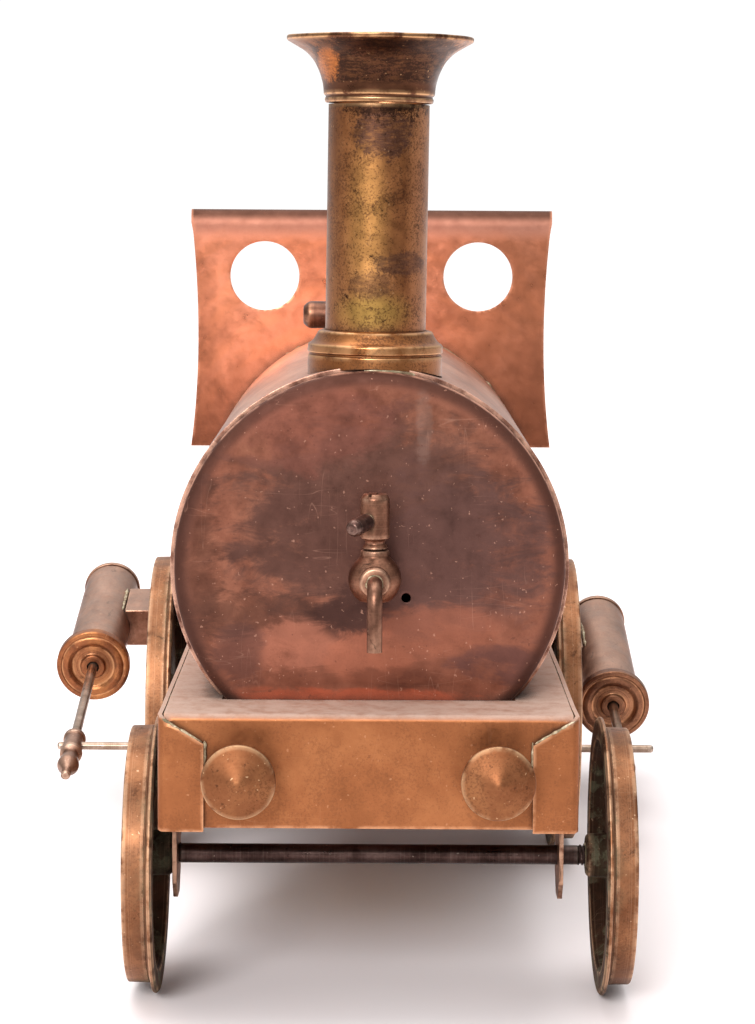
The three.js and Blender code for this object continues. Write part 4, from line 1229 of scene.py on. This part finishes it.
def make_tap():
    hinge = layout(JOINTS["tap_key_turn"]["pos_m"])
    centre = Vector((hinge.x, hinge.y, box_mm("tap_body")[0].z + 4.2))
    reach = BOILER_FRONT - centre.y
    belly = [(5.1 * math.cos(a), 5.1 * math.sin(a)) for a in map(math.radians, range(-48, 53, 10))]
    shape = lathe([(0, -4.2), (2.8, -4.2, 0.5), *belly, (2.75, 4.4, 0.3), (2.75, 5.6, 0.3),
                   (0, 5.6)], 72)
    shape.join(along_y(lathe([(0, 2), (3.2, 2), (3.2, reach - 1.1, 0.2), (3.9, reach - 0.9, 0.2),
                              (3.9, reach - 0.2, 0.2), (0, reach - 0.2)], 56)))
    shape.join(forwards(lathe([(0, 2), (3.0, 2), (3.0, 5.8, 0.4), (2.6, 6.2, 0.3),
                               (1.5, 6.3, 0.2), (0, 6.25)], 56)))
    piece("tap_ball", shape.move(*centre), "fitting_bronze", "chassis", ["tap_body"])
    spout_path = route([(0, -4.6, 0), (0, -11.7, 0), (0, -11.7, -12.2)], 4.2, 0.6)
    piece("tap_spout_tube", tube(spout_path, 1.45, 32, bore=0.9).move(*centre), "pipe_copper",
          "chassis", ["tap_spout"], look="spout_brass")
    bead("spout_solder", hoop(centre - 6.35 * Y, 1.5, 24, X, Z), 0.32, 67)
    key = Matrix.Translation(centre) @ Matrix.Rotation(math.radians(-28), 4, "Z")
    plug = lathe([(0, 4), (1.7, 4), (1.7, 5.9, 0.1), (2.45, 5.95, 0.25), (2.2, 6.5, 0.4),
                  (1.8, 7.0, 0.5), (2.1, 7.6, 0.3), (2.8, 7.95, 0.25), (2.8, 15.5, 0.25),
                  (2.2, 16.4, 0.2), (0, 16.5)], 64)
    plug.bend(lambda p: p - Z * 0.5 if p.z > 16 and abs(p.x) < 0.28 else p)
    piece("tap_plug_turned", plug, "fitting_bronze", "tap_key", ["tap_plug"], place=key)
    lever = lathe([(0, 0.5), (1.0, 0.5), (1.0, 2.9, 0.2), (1.6, 3.3, 0.3), (1.65, 4.2),
                   (1.65, 8.0, 0.2), (1.55, 8.3, 0.2), (1.62, 8.6, 0.3), (1.1, 9.4, 0.4),
                   (0.5, 9.5, 0.2), (0, 9.35)], 40)
    piece("tap_lever_bar", lever.turn(98, "X").move(0, 0, 11.8), "dark_steel", "tap_key",
          ["tap_lever"], place=key)
    joint = [key @ p for p in hoop((0, -2.9, 11.45), 1.15, 20, X, Z)]
    bead("lever_solder", joint, 0.28, 71, body="tap_key")


# ------------------------------------------------- steam cock, valve and pipes

def saddle_bead(name, x, y, radius, gap, size, seed):
    """Solder round a fitting that stands on the boiler."""
    ring = hoop((x, y, BOILER_Z), radius, 60, Y, X)
    for p in ring:
        p.z += math.sqrt((BOILER_R + gap) ** 2 - (p.x - x) ** 2)
    bead(name, ring, size, seed)


def make_steam_cock():
    x, y, _ = layout(JOINTS["regulator_key_turn"]["pos_m"])
    ball_z = box_mm("steam_pipe")[1].z - PIPE_R
    shape = lathe([(0, BOILER_TOP - 1.5), (5.2, BOILER_TOP - 1.5), (5.2, BOILER_TOP + 0.5, 0.3),
                   (4.6, BOILER_TOP + 0.9, 0.3), (4.6, 126.0, 0.4), (3.0, 126.3, 0.3),
                   (2.6, 126.6, 0.3)]
                  + raised([(3.1, -0.6, 0.8), (3.2, 0, 1.0), (3.0, 1.4, 0.8), (2.4, 2.95, 0.2),
                            (0, 2.95)], ball_z), 64)
    shape.join(along_y(lathe([(0, 1), (2.4, 1), (2.4, 4.9, 0.3), (1.6, 5.0, 0.1), (0, 5.0)], 48))
               .move(0, 0, ball_z))
    piece("regulator_turned", shape.move(x, y, 0), "fitting_bronze", "chassis",
          ["regulator_body"])
    saddle_bead("regulator_solder", x, y, 5.1, 0.1, 0.5, 73)
    handle_z = centre_mm("regulator_handle").z
    plug = lathe(raised([(0, 2), (1.4, 2), (1.4, 3.3, 0.1), (2.5, 3.35, 0.2)], ball_z)
                 + raised([(2.7, 0, 0.4), (2.5, 1.8, 0.4), (1.8, 2.55, 0.3), (0, 2.6)], handle_z),
                 56)
    piece("regulator_plug_turned", plug.move(x, y, 0), "fitting_bronze", "regulator_key",
          ["regulator_plug"])
    handle = lathe([(0, -14.5), (1.9, -14.5, 0.4), (2.9, -13.3, 0.5), (2.9, -8.3, 0.6),
                    (2.1, -6.4, 0.8), (1.15, -4.8, 0.6), (1.05, -0.8, 0.1), (0, -0.8)], 56)
    piece("regulator_handle_knob", along_x(handle).move(x, y, handle_z), "dark_steel",
          "regulator_key", ["regulator_handle"], look="handle_bronze")


def make_safety_valve():
    x, y, _ = centre_mm("safety_valve_spindle")
    seat = lathe([(0, 122.2), (5.5, 122.2), (5.5, 127.5, 0.3), (4.2, 127.65, 0.2),
                  (4.0, 127.9, 0.2), (3.4, 129.3, 0.2), (1.6, 129.3, 0.1), (1.5, 127), (0, 127)],
                 64)
    hexed = lathe([(0, 124.4), (5.5, 124.4, 0.1), (5.5, 127.2, 0.3), (4.9, 127.55, 0.2),
                   (0, 127.55)], 6)
    piece("valve_seat_turned", seat.join(hexed).move(x, y, 0), "fitting_bronze", "chassis",
          ["safety_valve_seat"])
    saddle_bead("valve_solder", x, y, 5.4, 0.05, 0.4, 79)
    spindle = lathe([(0, 107.4), (1.0, 107.4, 0.2), (1.0, 129.7, 0.1), (3.1, 129.75, 0.2),
                     (3.2, 130.7, 0.2), (1.9, 131.5, 0.5), (1.3, 133.3, 0.5), (0, 134)], 56)
    spindle.join(thread(1.05, 107.6, 114))
    piece("valve_spindle_turned", spindle.move(x, y, 0), "pipe_copper", "safety_valve",
          ["safety_valve_spindle"])


def make_pipes():
    low, high = box_mm("steam_pipe")
    top_z, low_z = high.z - PIPE_R, low.z + 3
    tee_y = high.y - 3.2
    path = route([(0, low.y, top_z), (0, PIPE_DROP_Y, top_z), (0, PIPE_DROP_Y, low_z),
                  (0, tee_y - 2, low_z)], 9)
    for p in path:
        if p.z > top_z - 1 and p.y < 172:
            p.z -= 0.25 * math.sin(math.pi * clamp((p.y - 84) / 100))
    piece("steam_pipe_run", tube(path, PIPE_R, 28), "pipe_copper", "chassis", ["steam_pipe"])
    tee = slab((-3, 3), (tee_y - 3.2, tee_y + 3.2), (low_z - 3, low_z + 3), 0.9)
    piece("steam_tee", tee, "fitting_bronze", "chassis")
    bead("pipe_solder", hoop((0, 84.9, top_z), 1.6, 24, X, Z), 0.35, 83)
    for side, sign in SIDES:
        node = f"steam_branch_{side}"
        end = max(abs(corner.x) for corner in box_mm(node))
        branch = along_x(lathe([(0, 0.5), (PIPE_R, 0.5), (PIPE_R, end, 0.1), (0, end)], 36))
        branch.join(along_x(lathe([(1.5, 37.0), (2.6, 37.0), (2.6, 37.7), (1.5, 37.7)], 36)))
        piece(f"steam_branch_pipe_{side}", branch.move(0, tee_y, low_z).on_side(sign),
              "pipe_copper", "chassis", [node])


# -------------------------------------------------------------------- wheels

WHEELS = {
    "front": dict(flange=27.5, tread=25.4, width=6.1, inner=43.5, hub=4.3, boss=2.4, axle=1.95),
    "driving": dict(flange=36.2, tread=34.05, width=6.0, inner=45.0, hub=5.0, boss=3.0, axle=2.0),
}


def wheel_shape(flange, tread, width, hub, boss, **_):
    """A turned wheel with a dished web; height 0 is its flange face."""
    rim = tread - 2.7
    web_out = width - 1.2
    web_in = web_out - 1.7
    bore = 1.9
    return lathe([
        (bore, -boss), (hub - 0.5, -boss, 0.3), (hub, -boss + 0.6, 0.3),
        (hub + 0.2, web_in - 1.1, 0.4), (hub + 1.6, web_in - 0.25, 0.8),
        (rim * 0.6, web_in - 0.12), (rim - 1.4, web_in - 0.05, 0.8), (rim - 0.1, 0.5, 0.5),
        (rim + 0.4, 0.05, 0.2), (flange - 0.5, 0.0, 0.3), (flange, 0.45, 0.3),
        (flange - 0.1, 0.95, 0.3), (tread + 0.25, 1.35, 0.3), (tread - 0.12, 1.5, 0.12),
        (tread, 1.75, 0.1), (tread - 0.1, width - 0.1, 0.35), (rim + 0.5, width, 0.3),
        (rim + 0.1, width - 0.25, 0.2), (rim - 0.4, web_out, 0.5), (rim * 0.6, web_out + 0.04),
        (hub + 1.2, web_out, 0.5), (hub - 0.2, web_out + 0.5, 0.4), (2.6, web_out + 0.6, 0.2),
        (bore, web_out + 0.55)], 160, 0.2)


def make_wheelset(kind):
    size = WHEELS[kind]
    body = f"{kind}_wheelset"
    low, high = box_mm(f"{kind}_axle")
    centre = (low + high) / 2
    half = (high.x - low.x) / 2
    r = size["axle"]
    tip = [(0, -half), (r - 0.5, -half), (r - 0.15, -half + 0.5), (r - 0.15, -half + 8.5, 0.1),
           (r, -half + 8.8, 0.2), (r, -10)]
    bar = along_x(lathe(tip + [(p[0], -p[1], *p[2:]) for p in reversed(tip)], 48, 0.15))
    bar.bend(lambda p: p - Vector((0, p.y, p.z)) * 0.012 * (1 + ripple(p, 4, 2)))
    for end in (-1, 1):
        bar.join(thread(r, half - 8.6, half - 0.4).turn(90 * end, "Y"))
    piece(f"{kind}_axle_bar", bar.move(*centre), "axle_steel", body, [f"{kind}_axle"])
    for side, sign in SIDES:
        shape = along_x(wheel_shape(**size)).move(size["inner"], 0, 0)
        shape.bend(lambda p: p + Vector((0.05 * ripple(p, 14, 3 + sign), 0, 0)))
        piece(f"{kind}_wheel_turned_{side}", shape.on_side(sign).move(*centre), "wheel_brass",
              body, [f"{kind}_wheel_{side}"])
        face = size["inner"] - size["boss"] + 0.05
        bead(f"{kind}_hub_solder_{side}", hoop(centre + X * sign * face, 2.15, 40, Y, Z), 0.4,
             89 + sign, body=body)


# ------------------------------------------------------------ cylinder units

UNITS = {
    "left": dict(sign=-1, axis=70.9, port=57.5, tip=74.6),
    "right": dict(sign=1, axis=62.8, port=54.0, tip=70.7),
}


def make_port_block(side, sign):
    node = f"port_block_{side}"
    low, high = box_mm(node)
    inner, outer = sorted((abs(low.x), abs(high.x)))
    plate = slab((outer - 5, outer), (low.y, high.y), (low.z, high.z), 0.5)
    plate.join(slab((inner, outer - 1), (238, 248), (45, 56), 0.5))
    for z in (low.z + 3.2, high.z - 3.2):
        rivet = along_x(lathe([(0, 0), (1.3, 0), (1.3, 0.25), (0.9, 0.5), (0, 0.55)], 24))
        plate.join(rivet.move(outer - 0.56, high.y - 2.6, z))
    piece(f"port_plate_{side}", plate.on_side(sign), "cylinder_brass", "chassis", [node])


def make_cylinder(side, sign, axis, port, tip):
    """One oscillating cylinder, about its trunnion: y runs along its piston."""
    pivot = layout(JOINTS[f"cylinder_{side}_rock"]["pos_m"])
    slide = Vector(JOINTS[f"piston_{side}_slide"]["axis"])
    place = (Matrix.Translation((0, pivot.y, pivot.z))
             @ Matrix.Rotation(math.atan2(slide.z, slide.y), 4, "X"))
    body = f"cylinder_{side}"

    def put(name, shape, slot, node, owner=body, look=None):
        piece(f"{name}_{side}", shape.on_side(sign), slot, owner, [f"{node}_{side}"],
              place=place, look=look)

    def turned(points, segments=96, soft=0.25):
        return along_y(lathe(points, segments, soft)).move(axis, 0, 0)

    front, rear = -32.6, 20.0
    barrel = turned([(5.6, front), (8.0, front, 0.2), (8.0, front + 2.5, 0.3),
                     (7.3, front + 3.0, 0.3), (7.3, -6), (7.3, 6), (7.3, rear, 0.2),
                     (5.6, rear, 0.1)])
    barrel.bend(lambda p: p - Vector((p.x - axis, 0, p.z)).normalized() * 0.05
                * (1 + ripple(p, 9, sign)))
    pad = slab((port, axis - 5.9), (-8.5, 8.5), (-5, 5), 0.5)
    put("cylinder_tube", barrel.join(pad), "cylinder_brass", "cylinder_barrel")
    for k, z in enumerate((-4.9, 4.9)):
        seam = [place @ Vector((sign * (axis - 5.3), y, z)) for y in range(-8, 9)]
        bead(f"pad_solder_{side}_{k}", seam, 0.55, 97 + k + sign, body=body)
    cover = turned(raised([
        (9.4, 3, 0.3), (9.35, 0.35, 0.3), (8.3, 0.15, 0.2), (7.9, 0.35, 0.2), (7.5, 0.1, 0.2),
        (6.5, -0.1, 0.2), (5.9, 0.2, 0.3), (5.3, 0.7, 0.4), (4.2, 0.55, 0.3), (3.3, 0.4, 0.3),
        (3.0, -0.35, 0.3), (1.5, -0.4, 0.1), (1.5, 3)], front - 3.3), 112, 0.2).flip()
    # The right cover takes the darker copy of the finish, as painted shade with some tarnish.
    put("cylinder_cover", cover, "cover_brass", "cylinder_front_cover",
        look="cover_shade_and_tarnish" if sign > 0 else None)
    cap = turned(raised([(0, 0.3), (7.6, 0.3, 0.2), (7.6, 1.9, 0.4), (6.7, 2.5, 0.4),
                         (4.5, 2.45, 0.3), (1.2, 2.6, 0.3), (0, 2.6)], rear))
    put("cylinder_end", cap, "cylinder_brass", "cylinder_rear_cover")

    nut = 42.6
    pin = along_x(lathe([(0, nut - 0.8), (1.0, nut - 0.8), (1.25, nut - 0.4), (1.25, nut + 2.3),
                         (1.55, nut + 2.4), (1.55, port + 1), (0, port + 1)], 40))
    pin.join(along_x(thread(1.35, nut - 0.6, nut + 2.5, 0.6, 0.16)))
    put("trunnion_stud", pin, "rod_steel", "trunnion_pin")
    hexagon = lathe(raised([(1.45, 0), (2.9, 0, 0.2), (3.2, 0.35, 0.2), (3.2, 1.65, 0.2),
                            (2.9, 2, 0.2), (1.45, 2)], nut), 6, 0.15)
    put("trunnion_hexnut", along_x(hexagon), "fitting_bronze", "trunnion_nut")
    start, end = nut + 2.7, port - 6
    coil = helix(2.6, start, end, max(2, round((end - start) / 1.5)), 24)
    put("trunnion_coil", along_x(tube(coil, 0.34, 12)), "rod_steel", "trunnion_spring")

    pin_low, pin_high = box_mm(f"crank_pin_{side}")
    at = (place.inverted() @ ((pin_low + pin_high) / 2)).y
    inner_end = min(abs(pin_low.x), abs(pin_high.x))
    owner = f"piston_{side}"
    rod = turned(raised([
        (0, 2.3), (1.2, 2.3), (1.2, 20), (1.2, 40), (1.2, 56.5, 0.1), (5.3, 56.5, 0.2),
        (5.3, 58, 0.2), (5.0, 58.3, 0.1), (5.0, 59.7, 0.1), (5.3, 60, 0.2), (5.3, 61.5, 0.2),
        (0, 61.5)], at), 48, 0.2)
    put("piston_rod_turned", rod, "rod_steel", "piston_rod", owner)
    head = turned(raised([
        (0, -17.5), (0.8, -17.4, 0.2), (1.0, -17.0, 0.2), (1.0, -14.6, 0.3), (1.6, -13.6, 0.5),
        (2.5, -12.0, 0.8), (2.6, -11.2, 0.8), (2.3, -9.2, 1.0), (1.75, -6.6, 0.7),
        (1.8, -5.8, 0.2), (2.65, -5.2, 0.2), (2.7, -3.95, 0.2), (2.25, -3.6, 0.2), (2.3, -1.5),
        (2.3, 2.9, 0.2), (2.7, 3.25, 0.2), (2.7, 4.5, 0.25), (1.5, 4.75, 0.2), (0, 4.75)], at), 64)
    head.join(along_y(thread(1.05, at - 17.2, at - 14.4, 0.55, 0.14)).move(axis, 0, 0))
    put("big_end_turned", head, "fitting_bronze", "big_end", owner, look="head_bronze")
    stick = along_x(lathe([(0, inner_end), (0.95, inner_end), (0.95, inner_end + 6),
                           (0.95, tip - 0.5, 0.2), (0.6, tip, 0.2), (0, tip)], 36))
    put("crank_pin_rod", stick.move(0, at, 0), "rod_steel", "crank_pin", owner)


# -------------------------------------------------------------------- burner

WICKS_Y = (84, 108, 132)


def make_burner():
    low, high = box_mm("burner_tank")
    top = 33.0
    corner = 6.0
    ring = []
    for k, (x, y) in enumerate(((high.x - corner, high.y - corner),
                                (low.x + corner, high.y - corner),
                                (low.x + corner, low.y + corner),
                                (high.x - corner, low.y + corner))):
        angles = [math.radians(90 * k + 90 * j / 8) for j in range(9)]
        ring += [Vector((x + corner * math.cos(a), y + corner * math.sin(a))) for a in angles]
    shape = Shape()
    mid = Vector(((low.x + high.x) / 2, (low.y + high.y) / 2))
    soft = 0.9
    loops = []
    for grow, z in ((-6, low.z), (-soft, low.z), (-soft * 0.3, low.z + soft * 0.3),
                    (0, low.z + soft), (0, top - soft - 0.6), (0, top - 0.6),
                    (-0.35, top - 0.3), (-0.6, top), (-6, top)):
        loops.append([shape.add_point((*(p + (p - mid).normalized() * grow), z),
                                      1.0 if -0.5 < grow < 0 else 0.0) for p in ring])
    shape.skin(loops)
    shape.faces.append(tuple(reversed(loops[0])))
    shape.faces.append(tuple(loops[-1]))
    for y in WICKS_Y:
        shape.join(lathe([(2.7, top - 1), (4.4, top - 1), (4.4, top + 0.5, 0.4),
                          (3.5, top + 1.0, 0.3), (3.4, high.z, 0.2), (2.75, high.z, 0.15)], 48)
                   .move(0, y, 0))
    filler = lathe([(0, top - 0.5), (4.2, top - 0.5), (4.2, top + 1.8, 0.4), (3.6, top + 2.3, 0.3),
                    (0, top + 2.4)], 48)
    shape.join(filler.move(17, 92, 0))
    piece("burner_can", shape, "burner_brass", "chassis", ["burner_tank"])
    for k, y in enumerate(WICKS_Y):
        wick = wick_shape(2.55, top + 1, high.z - 0.25, k).move(0, y, 0)
        piece(f"burner_wick_{k + 1}", wick, "wick", "chassis")
    make_hanger("front")
    make_hanger("rear")


def make_hanger(place):
    low, high = box_mm(f"burner_hanger_{place}")
    bend = 3.8
    drop = high.z - low.z - bend
    arc = bend * math.pi / 2
    floor = 2 * (high.x - bend)
    width = high.y - low.y
    path = [(-high.x, high.z), (0, -1), (drop, 0), (bend, 1), (floor, 0), (bend, 1),
            (drop + 1, 0)]
    total = 2 * drop + 2 * arc + floor
    rows = [start + arc * k / 6 for start in (drop, drop + arc + floor) for k in range(7)]
    strap = flat([(0, 0), (width, 0), (width, total), (0, total)],
                 [circle(width / 2, v, 0.8, 16) for v in (3, total - 3)], 2.2, rows)

    def hang(p):
        x, z = along_bends(p.y, *path)
        return Vector((x, low.y + p.x, z))

    piece(f"burner_strap_{place}", strap.bend(hang), "fitting_bronze", "chassis",
          [f"burner_hanger_{place}"], thick=SHEET)


def wick_shape(radius, bottom, top, seed):
    """A bundle of twisted cotton strands with a ragged top."""
    rng = random.Random(200 + seed)
    shape = lathe([(0, bottom), (radius, bottom), (radius, top - 0.8), (radius * 0.6, top - 0.5),
                   (0, top - 0.4)], 32)
    for ring, count in ((0.0, 1), (1.0, 6), (1.95, 11)):
        for k in range(count):
            a = 2 * math.pi * k / count + rng.uniform(-0.1, 0.1)
            tip = top - rng.uniform(0.0, 0.7)
            path = [Vector((ring * math.cos(a + t * 0.9), ring * math.sin(a + t * 0.9),
                            bottom + (tip - bottom) * t)) for t in (j / 8 for j in range(9))]
            shape.join(tube(path, 0.5, 8))
    return shape


# ----------------------------------------------------------- build the engine

make_frame_top()
make_boiler()
make_weatherboard()
make_chimney()
make_tap()
make_steam_cock()
make_safety_valve()
make_pipes()
make_burner()
make_wheelset("front")
make_wheelset("driving")
for side_name, unit in UNITS.items():
    make_frame_side(side_name, unit["sign"])
    make_buffer(side_name, unit["sign"])
    make_bracket("front_axle_bracket", side_name, unit["sign"])
    make_bracket("driving_axle_bracket", side_name, unit["sign"])
    make_port_block(side_name, unit["sign"])
    make_cylinder(side_name, **unit)
make_frame_solder()

for node_name, finish in (("safety_valve_spring", "rod_steel"),
                          ("safety_valve_nut", "fitting_bronze")):
    node = frame["nodes"][node_name]
    node.data.materials.clear()
    node.data.materials.append(FINISHES[finish])


# --------------------------------------------------------- floor and lighting

def make_floor():
    mesh = bpy.data.meshes.new("floor")
    mesh.from_pydata([(-6, -0.45, 0), (6, -0.45, 0), (6, 14, 0), (-6, 14, 0)], [], [(0, 1, 2, 3)])
    g = Graph(bpy.data.materials.new("floor_paper"))
    color = g.ramp(g.noise(9, 2, 0.5), (0.3, "f8efef"), (0.7, "fdf6f6"))
    mesh.materials.append(g.finish(color, 0.9, g.noise(400, 2, 0.5), 0.0, 0.05, 0.0001))
    link("floor", mesh)


def aim(light, way):
    light.rotation_euler = Vector(way).to_track_quat("-Z", "Y").to_euler()


def make_light():
    """A studio that is brighter above and to the left, against white."""
    world = bpy.data.worlds.new("studio")
    bpy.context.scene.world = world
    g = Graph(world)
    way = g.places["Generated"]
    x, _, z = g.separate(way)
    height = g.plus(g.times(z, 0.5), 0.5)
    sky = g.ramp(height, (0.0, 0.5), (0.5, 0.62), (0.62, 0.8), (0.76, 1.15), (1.0, 1.3))
    left = g.node("VectorMath", {0: way, 1: (-0.1, 0.12, 0.0)}, operation="DOT_PRODUCT")
    flanks = g.plus(g.times(g.times(x, x), -0.5), 0.95)
    strength = g.plus(left.outputs["Value"], flanks)
    soft = g.node("Background", {"Color": sky, "Strength": strength})
    white = g.node("Background", {"Color": (1, 1, 1, 1), "Strength": 1.05})
    seen = g.node("LightPath").outputs["Is Camera Ray"]
    mixed = g.node("MixShader", {0: seen, 1: soft.outputs[0], 2: white.outputs[0]})
    g.node("OutputWorld", {"Surface": mixed.outputs[0]})
    sun = bpy.data.lights.new("key", "SUN")
    sun.energy = 2.5
    sun.angle = math.radians(22)
    aim(link("key", sun), (0.55, 1.9, -1.0))
    panel = bpy.data.lights.new("overhead", "AREA")
    panel.size = 1.3
    panel.energy = 16
    overhead = link("overhead", panel)
    overhead.location = (-0.2, 0.1, 1.7)
    aim(overhead, (0.2, -0.05, -1.6))


make_floor()
make_light()
bpy.context.scene.view_settings.view_transform = "Standard"
